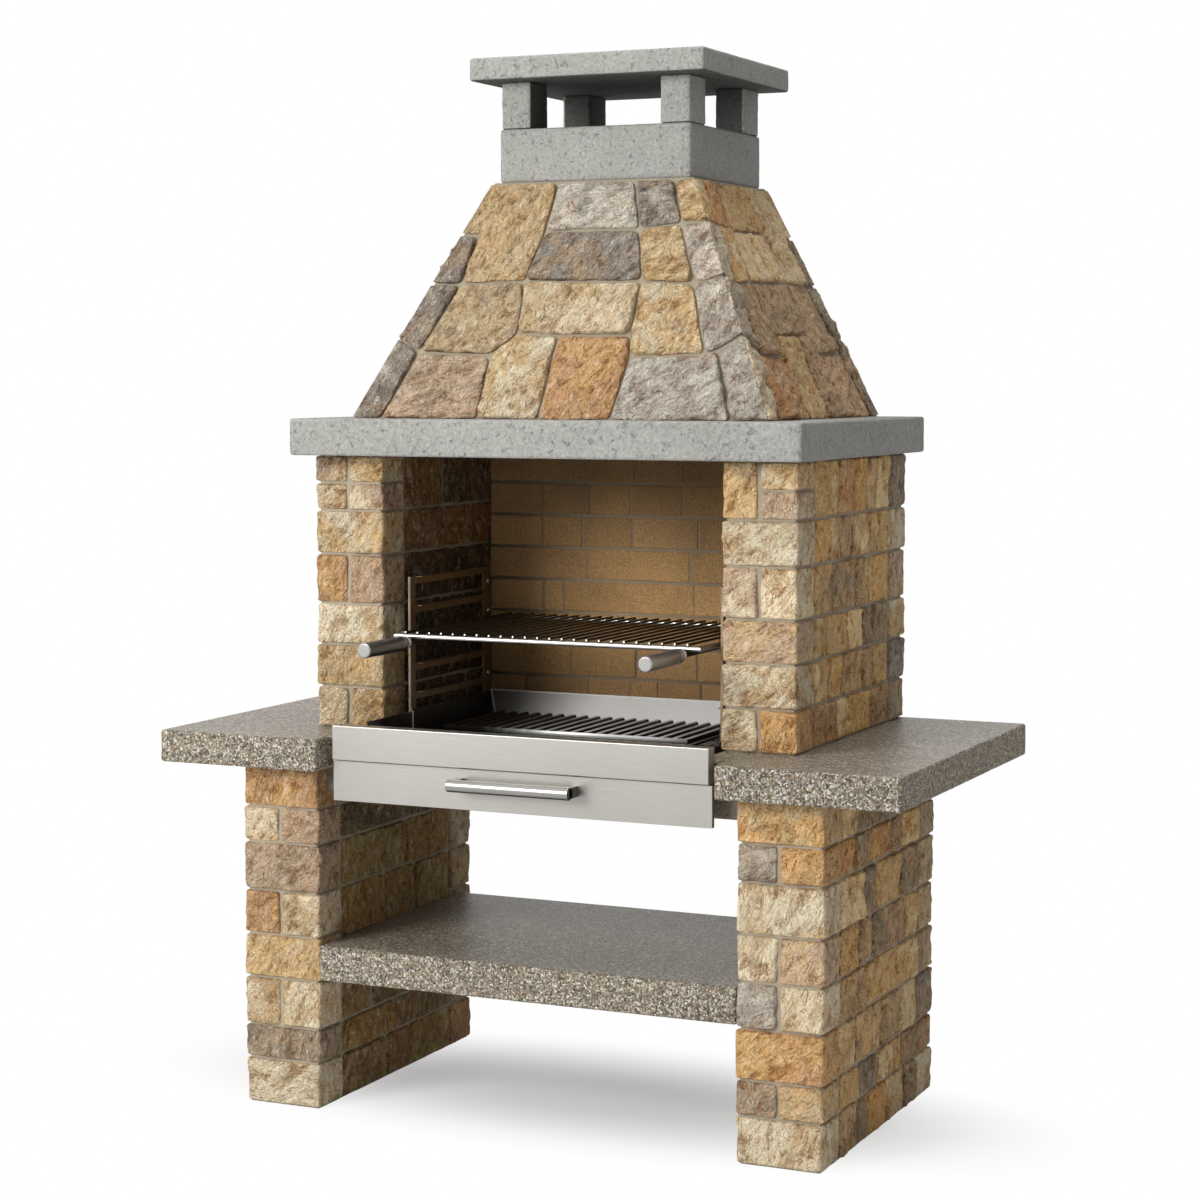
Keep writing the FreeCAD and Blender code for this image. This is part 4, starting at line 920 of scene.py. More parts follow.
def lay_slip(shape, solid, outward, look, chance, form, hip_gap=None):
    """A thin facing stone over a CAD slip.  Edges along a hip stay sharp and are mitred."""
    across = Vector((-outward.y, outward.x, 0.0)).normalized()
    upward = outward.cross(across)
    thickness = solid.depth(outward)
    corners = solid.face(outward)
    origin = middle_of(corners)
    rim = form["rim"]

    def point_at(corner, out):
        return origin + across * corner.x + upward * corner.y + outward * out

    def gap_at(corner):
        return 1.0 if hip_gap is None else hip_gap(point_at(corner, 0.0))

    spokes = [point - origin for point in corners]
    flat = anticlockwise([Vector((spoke.dot(across), spoke.dot(upward))) for spoke in spokes])
    hips = [gap_at(corner) < HIP_NEAR for corner in flat]
    reach = []
    for i, corner in enumerate(flat):
        j = (i + 1) % len(flat)
        run = flat[j] - corner
        grow = form["upright"] if abs(run.y) > abs(run.x) else form["grow"]
        reach.append(0.0 if hips[i] and hips[j] else grow)
    flat = grow_outline(flat, reach)
    radii = [HIP_ROUND if hip else form["corner"] * chance.uniform(0.7, 1.3) for hip in hips]
    centre = star_centre(flat)
    face = SplitFace(chance, form["bulge"], form["rough"])
    wobble = Vector((chance.uniform(0, 9), chance.uniform(0, 9), 0))
    outline = []
    for corner, away in round_outline(flat, radii, form["spacing"]):
        held = max(0.0, min(1.0, 1.4 - gap_at(corner) / HIP_HOLD))
        wave = noise.noise(Vector((corner.x, corner.y, 0)) * WAVES + wobble)
        outline.append((corner + away * (wave * form["sway"] * (1 - held)) - centre, held))
    back = []
    for spoke, held in outline:
        back.append(point_at(centre + spoke * (1 - held * thickness * 0.9 / spoke.length), -thickness))
    rings = [shape.ring(back, look, [FACE_MARK] * len(back))]
    for angle in RIM:
        inset = rim * (1 - math.cos(math.radians(angle)))
        weight = math.sin(math.radians(angle))
        ring, marks = [], []
        for spoke, held in outline:
            moved = centre + spoke * (1 - inset * (1 - held) / spoke.length)
            rise, rough = face.height(moved.x, moved.y, point_at(moved, 0.0))
            out = rise * weight * (1 - 0.8 * held) - rim * (1 - weight) * (1 - 0.9 * held)
            ring.append(point_at(moved, out))
            marks.append(RIM_MARK + 0.3 * weight * rough + 0.1 * held)
        rings.append(shape.ring(ring, look, marks))
    edge = [(centre + spoke * (1 - rim / spoke.length), held) for spoke, held in outline]
    places = [place for place, held in edge] + even_places(outline, centre, rim, form["spacing"], chance)
    holds = [held for place, held in edge] + [0.0] * (len(places) - len(edge))
    points, marks = [], []
    for place, held in zip(places, holds):
        rise, rough = face.height(place.x, place.y, point_at(place, 0.0))
        points.append(point_at(place, rise * (1 - 0.5 * held)))
        marks.append(FACE_MARK + ROUGH_MARK * rough)
    net = shape.ring(points, look, marks)
    rings.append(net[:len(edge)])
    shape.skin(rings)
    shape.cover(net, places, len(edge))
    shape.faces.append(tuple(reversed(rings[0])))


# The distance between staggered rows, as a share of the spacing along them
ROW = 0.87


def even_places(outline, centre, rim, spacing, chance):
    """Places all over a stone's face, in staggered rows, a little apart from its rim."""
    edge = kdtree.KDTree(len(outline))
    bearings = []
    for i, (spoke, held) in enumerate(outline):
        edge.insert((*spoke, 0.0), i)
        bearings.append((math.atan2(spoke.y, spoke.x), spoke.length))
    edge.balance()
    bearings.sort()
    bearings.append((bearings[0][0] + 2 * math.pi, bearings[0][1]))
    reach = max(length for angle, length in bearings)
    rows = math.ceil(reach / (spacing * ROW))
    columns = math.ceil(reach / spacing)
    places = []
    for row in range(-rows, rows + 1):
        for column in range(-columns, columns + 1):
            jitter = Vector((chance.uniform(-0.2, 0.2), chance.uniform(-0.2, 0.2)))
            place = (Vector((column + 0.5 * (row % 2), row * ROW)) + jitter) * spacing
            angle = math.atan2(place.y, place.x)
            index = bisect.bisect(bearings, (angle, 0.0)) % len(bearings)
            limit = min(bearings[index][1], bearings[index - 1][1])
            if place.length < limit - rim and edge.find((*place, 0.0))[2] > rim + spacing * 0.6:
                places.append(centre + place)
    return places


def lay_block(shape, low, high, at_front, look, chance, form):
    """A corner stone: rough on its end and both sides, plain towards the core."""
    centre = (low + high) / 2
    sign = -1.0 if at_front else 1.0
    back_y = high.y if at_front else low.y
    edge = form["rim"]
    plan = []
    for corner, away in round_outline(footprint(low, high), edge * 1.6, form["spacing"]):
        inside = min(corner.x - low.x, high.x - corner.x) > edge * 2
        if abs(corner.y - back_y) > NEAR or not inside:
            plan.append((corner, away))
    end_face = SplitFace(chance, form["bulge"], form["rough"])
    side_face = SplitFace(chance, form["bulge"] * 0.4, form["rough"] * 0.5)
    rings = []
    for inset, level in rounded_levels(low.z, high.z, edge, BLOCK_RIM, form["spacing"]):
        ring, marks = [], []
        rim = 1 - inset / edge
        for corner, away in plan:
            place = Vector((corner.x, corner.y, level))
            facing = away.y * sign
            rise, mark = 0.0, 0.0
            if facing > 0.05:
                height, roughness = end_face.height(corner.x - centre.x, level - centre.z, place)
                rise += facing ** 2 * height
                mark += facing ** 2 * roughness
            if abs(away.x) > 0.05:
                height, roughness = side_face.height(corner.y - centre.y, level - centre.z, place)
                rise += away.x ** 2 * height
                mark += away.x ** 2 * roughness
            if facing < -0.5:
                rise = 0.0
            moved = place + Vector((away.x, away.y, 0)) * (rise * rim - inset)
            if rim > 0:
                moved.z += noise.noise(place * WAVES + end_face.shift) * BED_SWAY
            ring.append(moved)
            marks.append(FACE_MARK + ROUGH_MARK * mark * rim - (1 - rim) * (FACE_MARK - RIM_MARK))
        rings.append(shape.ring(ring, look, marks))
    shape.close(rings)


# Stonework

# What the light changes in the stones' colours on the outer sides and on the fronts
OUTER_SHADES = {
    "left_leg": (0.96, 0.93, 0.84), "right_leg": (1.20, 1.08, 0.85),
    "left_pier": (0.96, 0.93, 0.84), "right_pier": (1.38, 1.24, 0.96),
}
FRONT_SHADES = {"left": (0.92, 0.92, 0.92), "right": (1.10, 1.10, 1.10)}
# The light and shade painted into the stones' colours on each side of the hood
HOOD_SHADES = {
    "front": (0.93, 0.94, 0.96), "right": (1.30, 1.22, 1.08),
    "left": (1.0, 1.0, 1.0), "rear": (1.0, 1.0, 1.0),
}
# Inner sides get painted shade, brown on the legs and on the piers brown with soot as well, darker still
# with painted shadow behind the racks
INNER_LEG_SHADE = (0.56, 0.50, 0.31)
INNER_PIER_SHADE_AND_SOOT = (0.44, 0.33, 0.18)
RACK_SHADOW = 0.45
INNER_SHADES = {"left_leg": INNER_LEG_SHADE, "right_leg": INNER_LEG_SHADE, "left_pier": INNER_PIER_SHADE_AND_SOOT, "right_pier": INNER_PIER_SHADE_AND_SOOT}
# How much larger the corner stones are than their solids, on each side
BLOCK_GROWTH = Vector((0.0012, 0.0, 0.0018))
# The deepest joint between the shelf and the slips above it
SHELF_BED = 0.03
# How far the joints lie behind the stones: on the fronts, on the sides of the walls, and at the hood's hips
JOINT_DEPTH = 0.0065
SIDE_JOINT_DEPTH = JOINT_DEPTH * 0.9
HIP_DEPTH = 0.0015
# The pointing's corners, the distance between its points, and its waves on the walls and on the hood
CORE_ROUND = 0.004
CORE_SPACING = 0.016
CORE_WAVE = 0.0014
HOOD_WAVE = 0.0012
# The seeds of the walls' sides, the hood's stones and the firebricks
SIDE_SEED = 11
HOOD_SEED = 31
BRICK_SEED = 41


def corner_stones(name, seed):
    """The quoins at both ends of a leg or pier, the front ones in the tones listed for them."""
    node = f"{name}_quoins"
    chance = random.Random(seed)
    low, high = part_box(node)
    tones = FRONT_TONES[name].split()
    shade = FRONT_SHADES[name.split("_")[0]]
    shape = Shape()
    for solid in solids_of(node):
        at_front = solid.centre.y < (low.y + high.y) / 2
        tone = tones.pop(0) if at_front else chance.choice(SIDE_TONES)
        look = stone_look(tone, chance, shade)
        lay_block(shape, solid.low - BLOCK_GROWTH, solid.high + BLOCK_GROWTH, at_front, look, chance, QUOIN)
    dress(shape.piece(f"{node}_split"), "split_stone", "split_stone", node)


def seat_slip(corners, level):
    """Lengthens a slip's face down to a level."""
    bottom = min(corner.z for corner in corners)
    for corner in corners:
        if corner.z - bottom < NEAR:
            corner.z = level


def side_stones(name, seed):
    """The slips on both sides of a leg or pier.  The inner ones are darkened by painted shade, and stand on
    the shelf.
    """
    node = f"{name}_side_stones"
    chance = random.Random(seed)
    low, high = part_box(node)
    rack_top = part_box("left_rack_posts")[1].z
    shelf_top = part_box("storage_shelf")[1].z
    shape = Shape()
    for solid in solids_of(node):
        outward = Vector((1.0 if solid.centre.x > (low.x + high.x) / 2 else -1.0, 0.0, 0.0))
        inside = outward.x * low.x < 0
        shade = INNER_SHADES[name] if inside else OUTER_SHADES[name]
        # Painted shadow behind the racks
        if shade is INNER_PIER_SHADE_AND_SOOT and solid.centre.z < rack_top:
            shade = tuple(part * RACK_SHADOW for part in INNER_PIER_SHADE_AND_SOOT)
        if inside and 0 < solid.low.z - shelf_top < SHELF_BED:
            seat_slip(solid.face(outward), shelf_top + SLIP["grow"])
        lay_slip(shape, solid, outward, stone_look(chance.choice(SIDE_TONES), chance, shade), chance, SLIP)
    dress(shape.piece(f"{node}_split"), "split_stone", "split_stone", node)


def wavy(point, outward, size):
    """Moves a point out or in a little, as hand-made surfaces are."""
    return point + outward * (noise.fractal(point * 18.0, 0.8, 2.0, 3) * size)


def pier_core(name):
    """A leg's or pier's core, with its joints pointed to a little behind the stones."""
    stones_low, stones_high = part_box(f"{name}_quoins")
    core_low, core_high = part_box(f"{name}_core")
    inset = Vector((SIDE_JOINT_DEPTH, JOINT_DEPTH, 0.0))
    plan = round_outline(footprint(stones_low + inset, stones_high - inset), CORE_ROUND, CORE_SPACING)
    height = core_high.z - core_low.z
    steps = round(height / CORE_SPACING)
    shape = Shape()
    rings = []
    for step in range(steps + 1):
        level = core_low.z + height * step / steps
        ring = []
        for corner, away in plan:
            ring.append(wavy(Vector((corner.x, corner.y, level)), Vector((away.x, away.y, 0)), CORE_WAVE))
        rings.append(shape.ring(ring))
    shape.close(rings)
    dress(shape.piece(f"{name}_pointing"), "mortar", "mortar", f"{name}_core")


# Hood

PANELS = tuple(f"hood_{side}_panel" for side in ("front", "rear", "left", "right"))
HOOD_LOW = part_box("hood_front_panel")[0].z
HOOD_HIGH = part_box("hood_front_panel")[1].z
HOOD_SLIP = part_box("hood_front_panel")[0].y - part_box("hood_front_stones")[0].y
# The shell's thickness behind the slips, and its steps up and along each side
HOOD_WALL = 0.045
HOOD_STEPS = 24
# The share of a side's width at each end where a stone takes its tone from the front
HIP_SHARE = 0.12


def grown(edges, by):
    return edges[0] - by, edges[1] + by, edges[2] - by, edges[3] + by


def panel_edges(level):
    """The panels' left, right, front and rear at a level, with the slips on them."""
    near = [point for node in PANELS for point in points_of(node) if abs(point.z - level) < NEAR]
    low, high = limits(near)
    return Vector(grown((low.x, high.x, low.y, high.y), HOOD_SLIP))


HOOD_FOOT = panel_edges(HOOD_LOW)
HOOD_HEAD = panel_edges(HOOD_HIGH)
HOOD_RISE = HOOD_HIGH - HOOD_LOW
# The way each side of the hood looks
SLOPES = {
    "front": Vector((0, -HOOD_RISE, HOOD_HEAD[2] - HOOD_FOOT[2])),
    "rear": Vector((0, HOOD_RISE, HOOD_FOOT[3] - HOOD_HEAD[3])),
    "left": Vector((-HOOD_RISE, 0, HOOD_HEAD[0] - HOOD_FOOT[0])),
    "right": Vector((HOOD_RISE, 0, HOOD_FOOT[1] - HOOD_HEAD[1])),
}


def hood_edges(rise):
    """The hood's left, right, front and rear at a share of its height."""
    return HOOD_FOOT.lerp(HOOD_HEAD, rise)


def hood_tone(share, rise):
    return min(HOOD_TONES, key=lambda spot: (spot[0] - share) ** 2 + (spot[1] - rise) ** 2)[2]


def hood_stones(side, seed):
    """The rubble facing of one side of the hood.  Stones at a hip match those round the corner in tone."""
    node = f"hood_{side}_stones"
    outward = SLOPES[side].normalized()
    chance = random.Random(seed)
    axis = 0 if side in ("front", "rear") else 1
    shape = Shape()

    def ends_at(level):
        edges = hood_edges((level - HOOD_LOW) / HOOD_RISE)
        return edges[axis * 2], edges[axis * 2 + 1]

    def hip_gap(point):
        start, stop = ends_at(point.z)
        return min(point[axis] - start, stop - point[axis])

    for solid in solids_of(node):
        centre = middle_of(solid.face(outward))
        start, stop = ends_at(centre.z)
        share = (centre[axis] - start) / (stop - start)
        from_left = 1 - share if side in ("right", "rear") else share
        tone = hood_tone(from_left, (centre.z - HOOD_LOW) / HOOD_RISE)
        if side != "front" and HIP_SHARE < share < 1 - HIP_SHARE:
            tone = chance.choice(SIDE_TONES)
        look = stone_look(tone, chance, HOOD_SHADES[side])
        lay_slip(shape, solid, outward, look, chance, RUBBLE, hip_gap)
    dress(shape.piece(f"{node}_split"), "split_stone", "split_stone", node)


def hood_ring(rise, inset, hip_inset, wave):
    """Points round the hood at a share of its height, inside the faces of its stones and of its hips."""
    edges = grown(hood_edges(rise), -inset)
    corners = rectangle(*edges)
    hips = rectangle(*grown(hood_edges(rise), -hip_inset))
    level = HOOD_LOW + HOOD_RISE * rise
    ring = []
    for i, corner in enumerate(corners):
        for step in range(HOOD_STEPS):
            flat = corner.lerp(corners[(i + 1) % 4], step / HOOD_STEPS) if step else hips[i]
            away = Vector((flat.x, flat.y - (edges[2] + edges[3]) / 2, 0)).normalized()
            ring.append(wavy(Vector((flat.x, flat.y, level)), away, wave))
    return ring


def hood_backing():
    """The hood's concrete shell with its pointed joints, hollow and open at the foot and the top."""
    shape = Shape()
    rings = []
    for step in range(HOOD_STEPS + 1):
        rings.append(shape.ring(hood_ring(step / HOOD_STEPS, JOINT_DEPTH, HIP_DEPTH, HOOD_WAVE)))
    inner = HOOD_SLIP + HOOD_WALL
    for rise in (1.0, 0.0):
        rings.append(shape.ring(hood_ring(rise, inner, inner, 0.0)))
    shape.skin(rings + rings[:1])
    dress(shape.piece("hood_backing"), "mortar", "cast_concrete", *PANELS)


# Firebricks

# The least and greatest half of an upright joint, and how far the mortar comes forward of its solid
HALF_MEETS = (0.0008, 0.0026)
MORTAR_SWELL = 0.0020
# Where the firebricks of each course meet, in millimetres from the middle, from the bottom course up
BRICK_ENDS = (
    (-286, -133, -33, 31, 132, 300), (-177, -20, 122, 318), (-290, -60, 175), (-242, -194, 115, 318),
    (-136, 105, 318), (-245, -148, -28, 124, 330), (-244, -129, -33, 88, 300), (-169, -24, 90, 310),
)


def fire_bricks():
    """The fire chamber's bricks with worn edges, and the mortar between them."""
    chance = random.Random(BRICK_SEED)
    shape = Shape()
    wall_low, wall_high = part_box("firebricks")
    courses = sorted({(round(solid.low.z, 4), round(solid.high.z, 4)) for solid in solids_of("firebricks")})
    for (bottom, top), meets in zip(courses, BRICK_ENDS):
        ends = [wall_low.x, *(meet / 1000 for meet in meets), wall_high.x]
        for left, right in zip(ends, ends[1:]):
            light = chance.uniform(0.90, 1.10)
            red, green, blue, _ = screen_colour(*FIRE_CLAY)
            tone = (red * light, green * light, blue * light * chance.uniform(0.94, 1.05), 1.0)
            low = Vector((left + chance.uniform(*HALF_MEETS), wall_low.y, bottom))
            high = Vector((right - chance.uniform(*HALF_MEETS), wall_high.y, top))
            lay_block(shape, low, high, True, (tone, tone), chance, BRICK)
    dress(shape.piece("firebrick_lining"), "firebrick", "firebrick", "firebricks")
    low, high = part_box("firebrick_mortar")
    bed = Shape()
    block(bed, Vector((low.x, low.y - MORTAR_SWELL, low.z)), high)
    dress(bed.piece("firebrick_joints"), "fire_mortar", "mortar", "firebrick_mortar")


# Cast slabs

# Rounded edges of slabs and posts: radii, the angles of their steps, and the distance between points
SLAB_EDGE = 0.006
POST_EDGE = 0.005
SLAB_RIM = (0, 22, 45, 68)
SLAB_SPACING = 0.011
# How rough the cast surfaces are
TERRAZZO_ROUGH = 0.0009
CONCRETE_ROUGH = 0.0007
# More than the bevels of the CAD slabs, and less than the walls beside their holes
BEVEL_REACH = 0.0055
HOLE_WALL = 0.03


def cast_slab(name, outline, low, high, edge, rough, hole=None):
    """A cast slab with softened, slightly uneven edges, with or without a square hole."""
    plan = round_outline(outline, edge * 1.5, SLAB_SPACING)
    profile = rounded_levels(low, high, edge, SLAB_RIM, SLAB_SPACING)
    shape = Shape()
    rings = []
    for index, (inset, level) in enumerate(profile):
        plain = index in (0, len(profile) - 1)
        ring = []
        for corner, away in plan:
            point = Vector((corner.x - away.x * inset, corner.y - away.y * inset, level))
            swell = 0.0 if plain else noise.fractal(point * 55.0, 0.8, 2.0, 3) * rough
            chip = 0.0 if plain else min(0.0, noise.noise(point * 17.0) + 0.35) * rough * 3
            ring.append(point + Vector((away.x, away.y, 0)) * (swell + chip))
        rings.append(shape.ring(ring))
    shape.skin(rings)
    if hole is None:
        for ring in (rings[0], rings[-1]):
            for triangle in tessellate_polygon([[shape.points[i] for i in ring]]):
                shape.faces.append(tuple(ring[i] for i in triangle))
    else:
        cap_with_hole(shape, plan, outline, rings, hole, low, high)
    return shape.piece(name, True)


def cap_with_hole(shape, plan, outline, rings, hole, low, high):
    """Joins a slab's top and bottom to a hole with as many corners as its outline."""
    inner = []
    for level in (low, high):
        inner.append(shape.ring([Vector((corner.x, corner.y, level)) for corner in hole]))
    nearest = []
    for corner in outline:
        nearest.append(min(range(len(plan)), key=lambda i: (plan[i][0] - corner).length))
    for i, start in enumerate(nearest):
        stop = nearest[(i + 1) % len(nearest)]
        run = [start]
        while run[-1] != stop:
            run.append((run[-1] + 1) % len(plan))
        j = (i + 1) % len(hole)
        shape.faces.append((inner[0][i], inner[0][j], *[rings[0][k] for k in reversed(run)]))
        shape.faces.append((inner[1][j], inner[1][i], *[rings[-1][k] for k in run]))
        shape.faces.append((inner[0][j], inner[0][i], inner[1][i], inner[1][j]))


def top_outline(node, low, high):
    """The outline of a CAD slab's top, taken back out to the limits from which a bevel has drawn it in."""
    work = plain_mesh(node)
    tops = [face for face in work.faces if face.normal.z > 0.99 and abs(face.verts[0].co.z - high.z) < NEAR]
    top = max(tops, key=lambda face: face.calc_area())
    corners = []
    for vert in top.verts:
        x, y, _ = vert.co
        x = low.x if x - low.x < BEVEL_REACH else high.x if high.x - x < BEVEL_REACH else x
        y = low.y if y - low.y < BEVEL_REACH else high.y if high.y - y < BEVEL_REACH else y
        corners.append(Vector((x, y)))
    work.free()
    return anticlockwise(corners)


def terrazzo_slab(node, name):
    low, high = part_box(node)
    piece = cast_slab(name, top_outline(node, low, high), low.z, high.z, SLAB_EDGE, TERRAZZO_ROUGH)
    dress(piece, "terrazzo", "terrazzo", node)


def hole_of(node):
    """The corners of the square hole through a CAD slab."""
    low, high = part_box(node)
    inside = []
    for point in points_of(node):
        gap = min(point.x - low.x, high.x - point.x, point.y - low.y, high.y - point.y)
        if gap > HOLE_WALL:
            inside.append(point)
    return footprint(*limits(inside))


def concrete_box(name, low, high, edge, hole=None):
    return cast_slab(name, footprint(low, high), low.z, high.z, edge, CONCRETE_ROUGH, hole)


def concrete_caps():
    """The mantel and the chimney's collar, cap and posts."""
    for node, name in (("mantel_slab", "mantel"), ("chimney_collar", "collar")):
        piece = concrete_box(name, *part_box(node), SLAB_EDGE, hole_of(node))
        dress(piece, "cast_concrete", "cast_concrete", node)
    piece = concrete_box("cap", *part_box("chimney_cap"), SLAB_EDGE)
    dress(piece, "smoked_concrete", "cast_concrete", "chimney_cap")
    work = bmesh.new()
    for number, solid in enumerate(solids_of("chimney_posts")):
        post = concrete_box(f"post_{number}", solid.low, solid.high, POST_EDGE)
        work.from_mesh(post.data)
        bpy.data.objects.remove(post)
    dress(piece_of("posts", work), "smoked_concrete", "cast_concrete", "chimney_posts")


# Steelwork

# Edges that turn by more than this, in radians, are eased
SHARP_TURN = 0.5


def softened(node, name, width, segments):
    """A copy of a CAD piece with its sharp edges eased."""
    work = plain_mesh(node)
    folds = [edge for edge in work.edges if len(edge.link_faces) == 2]
    sharp = [edge for edge in folds if edge.calc_face_angle() > SHARP_TURN]
    bmesh.ops.bevel(work, geom=sharp, offset=width, offset_type="OFFSET", segments=segments, profile=0.5,
                    affect="EDGES", clamp_overlap=True)
    return piece_of(name, work)


SHEETS = {
    "stainless_sheet": ("front_apron", "drawer_front", "drawer_pan", "left_runner", "right_runner"),
    "ember_sheet": ("tray_back", "ember_plate"),
    # The tray's floor is black, a painted shade in the gaps between the charcoal bars
    "sooted_sheet": ("tray_floor",),
    "tray_wall": ("tray_left_wall", "tray_right_wall"),
    "smoked_sheet": ("left_rack_posts", "right_rack_posts", "left_rack_rungs", "right_rack_rungs"),
}
# How far edges are eased: folded fronts, other sheet, the charcoal grate and the darker concrete
FOLD_EASE = 0.0020
SHEET_EASE = 0.0006
CHARCOAL_EASE = {"frame": 0.001, "feet": 0.0015}
DARK_CONCRETE_EASE = 0.003


def sheet_pieces():
    """Folded sheet, the flat pieces of the charcoal grate, and the darker concrete behind."""
    for finish, nodes in SHEETS.items():
        for node in nodes:
            width = FOLD_EASE if node in ("front_apron", "drawer_front") else SHEET_EASE
            dress(softened(node, f"{node}_folded", width, 2), finish, "stainless_sheet", node)
    for part, width in CHARCOAL_EASE.items():
        node = f"charcoal_grate_{part}"
        dress(softened(node, f"charcoal_{part}", width, 2), "charcoal_steel", "steel_rod", node)
    for node in ("left_bearer", "right_bearer", "rear_wall"):
        dress(softened(node, f"{node}_cast", DARK_CONCRETE_EASE, 3), "raw_concrete", "cast_concrete", node)


def turn(shape, start, axis, profile, sides):
    """A turned piece: its profile is pairs of a distance along the axis and a radius."""
    side = Vector((0, 0, 1)) if abs(axis.z) < 0.5 else Vector((1, 0, 0))
    other = axis.cross(side)
    rings = []
    for along, radius in profile:
        ring = []
        for step in range(sides):
            angle = 2 * math.pi * (step + 0.5) / sides
            ring.append(start + axis * along + (side * math.cos(angle) + other * math.sin(angle)) * radius)
        rings.append(shape.ring(ring))
    shape.close(rings)


def rod_profile(length, radius, ease):
    """A plain rod with rounded ends."""
    near = [(0.0, radius - ease)]
    for angle in (30, 60, 90):
        swing = math.radians(angle)
        near.append((ease * (1 - math.cos(swing)), radius - ease * (1 - math.sin(swing))))
    return near + [(length - along, size) for along, size in reversed(near)]


def turned_along_y(node, name, finish, sides, profile_of):
    """Every rod, sleeve or ring of a node, turned to a profile made for its length and radius."""
    shape = Shape()
    for solid in solids_of(node):
        start = Vector((solid.centre.x, solid.low.y, solid.centre.z))
        profile = profile_of(solid.high.y - solid.low.y, (solid.high.z - solid.low.z) / 2)
        turn(shape, start, Vector((0, 1, 0)), profile, sides)
    dress(shape.piece(name, True), finish, "steel_rod", node)


# A grip's eased front end, and its groove and rear end from the rear, as distances and shares of its radius
GRIP_FRONT = ((0.0, 0.78), (0.0005, 0.88), (0.0018, 0.96), (0.0040, 1.0))
GRIP_REAR = ((0.0150, 1.0), (0.0140, 0.80), (0.0105, 0.80), (0.0095, 1.0), (0.0015, 0.97), (0.0, 0.88))
# A ferrule's groove and ring, as shares of its length and radius, and where each ring starts and its size
FERRULE_RING = ((0.30, 0.80), (0.34, 1.14), (0.44, 1.26), (0.80, 1.26), (0.92, 1.14))
FERRULE_STARTS = ((0.0, 1.0), (1.0, 0.86))


def bar_profile(length, radius):
    return rod_profile(length, radius, radius * 0.4)


def grip_profile(length, radius):
    """A sleeve with a flat end, an eased rim and a groove before the ferrule."""
    front = [(along, radius * share) for along, share in GRIP_FRONT]
    return front + [(length - along, radius * share) for along, share in GRIP_REAR]


def ferrule_profile(length, radius):
    """Two rings with a groove before each, drawn on along the arm."""
    profile = [(0.0, radius * 0.80)]
    for start, size in FERRULE_STARTS:
        profile.extend(((start + along) * length, radius * share * size) for along, share in FERRULE_RING)
    return (*profile, (2.0 * length, radius * 0.60))


# The strip across the charcoal bars' front ends
STRIP_DEPTH = 0.004
STRIP_HEIGHT = 0.010
STRIP_BEVEL = 0.0008
FRAME_EASE = 0.0004


def charcoal_strip():
    """A flat strip across the front ends of the charcoal grate's bars."""
    low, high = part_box("charcoal_grate_bars")
    shape = Shape()
    corner = Vector((low.x, low.y - STRIP_DEPTH, high.z - STRIP_HEIGHT))
    block(shape, corner, Vector((high.x, low.y, high.z)), STRIP_BEVEL)
    add_detail(shape.piece("charcoal_front_strip"), "charcoal_steel", "charcoal_grate")


def grates():
    charcoal_strip()
    turned_along_y("charcoal_grate_bars", "charcoal_bars_round", "charcoal_steel", 16, bar_profile)
    turned_along_y("grill_bars", "grill_bars_round", "grill_rod", 10, bar_profile)
    turned_along_y("grill_arms", "grill_arms_round", "grill_rod", 16, bar_profile)
    turned_along_y("grill_grips", "grill_grips_turned", "grip_steel", 28, grip_profile)
    turned_along_y("grip_ferrules", "grip_ferrules_turned", "steel_rod", 24, ferrule_profile)
    frame_rod = softened("grill_frame", "grill_frame_rod", FRAME_EASE, 1)
    dress(frame_rod, "steel_rod", "steel_rod", "grill_frame")


# How far up the rear posts the screws are, how far in from the edge, and their heads' profile
SCREW_HEIGHTS = (0.23, 0.55, 0.68, 0.89)
SCREW_INSET = 0.012
SCREW_PROFILE = ((-0.001, 0.0050), (0.0008, 0.0050), (0.0022, 0.0041), (0.0031, 0.0024), (0.0034, 0.0008))


def rack_screws():
    """Round-headed screws through the rear posts of both racks."""
    low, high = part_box("right_rack_posts")
    shape = Shape()
    for side in (-1, 1):
        for share in SCREW_HEIGHTS:
            seat = Vector((side * low.x, high.y - SCREW_INSET, low.z + (high.z - low.z) * share))
            turn(shape, seat, Vector((-side, 0, 0)), SCREW_PROFILE, 12)
    add_detail(shape.piece("rack_screw_heads"), "steel_rod", "masonry")


# The handle's bar against its solid: shorter at each end, larger in radius, and its eased ends
HANDLE_INSET = 0.008
HANDLE_SWELL = 0.0016
HANDLE_EASE = 0.0012
# Its brackets' width, and their half height as a share of the bar's radius
BRACKET_WIDTH = 0.018
BRACKET_SHARE = 0.84


def drawer_handle():
    """A round bar with flat ends, on two brackets that end flush with it."""
    low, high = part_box("drawer_handle_bar")
    centre = (low + high) / 2
    radius = (high.z - low.z) / 2 + HANDLE_SWELL
    reach = (high.x - low.x) / 2 - HANDLE_INSET
    bar = Shape()
    profile = rod_profile(2 * reach, radius, HANDLE_EASE)
    turn(bar, Vector((-reach, centre.y, centre.z)), Vector((1, 0, 0)), profile, 40)
    dress(bar.piece("drawer_handle_round", True), "handle_steel", "steel_rod", "drawer_handle_bar")
    brackets = Shape()
    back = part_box("drawer_handle_posts")[1].y
    half = radius * BRACKET_SHARE
    for left in (-reach, reach - BRACKET_WIDTH):
        corner = Vector((left, centre.y, centre.z - half))
        block(brackets, corner, Vector((left + BRACKET_WIDTH, back, centre.z + half)))
    piece = brackets.piece("drawer_handle_brackets", True)
    dress(piece, "bracket_steel", "stainless_sheet", "drawer_handle_posts")


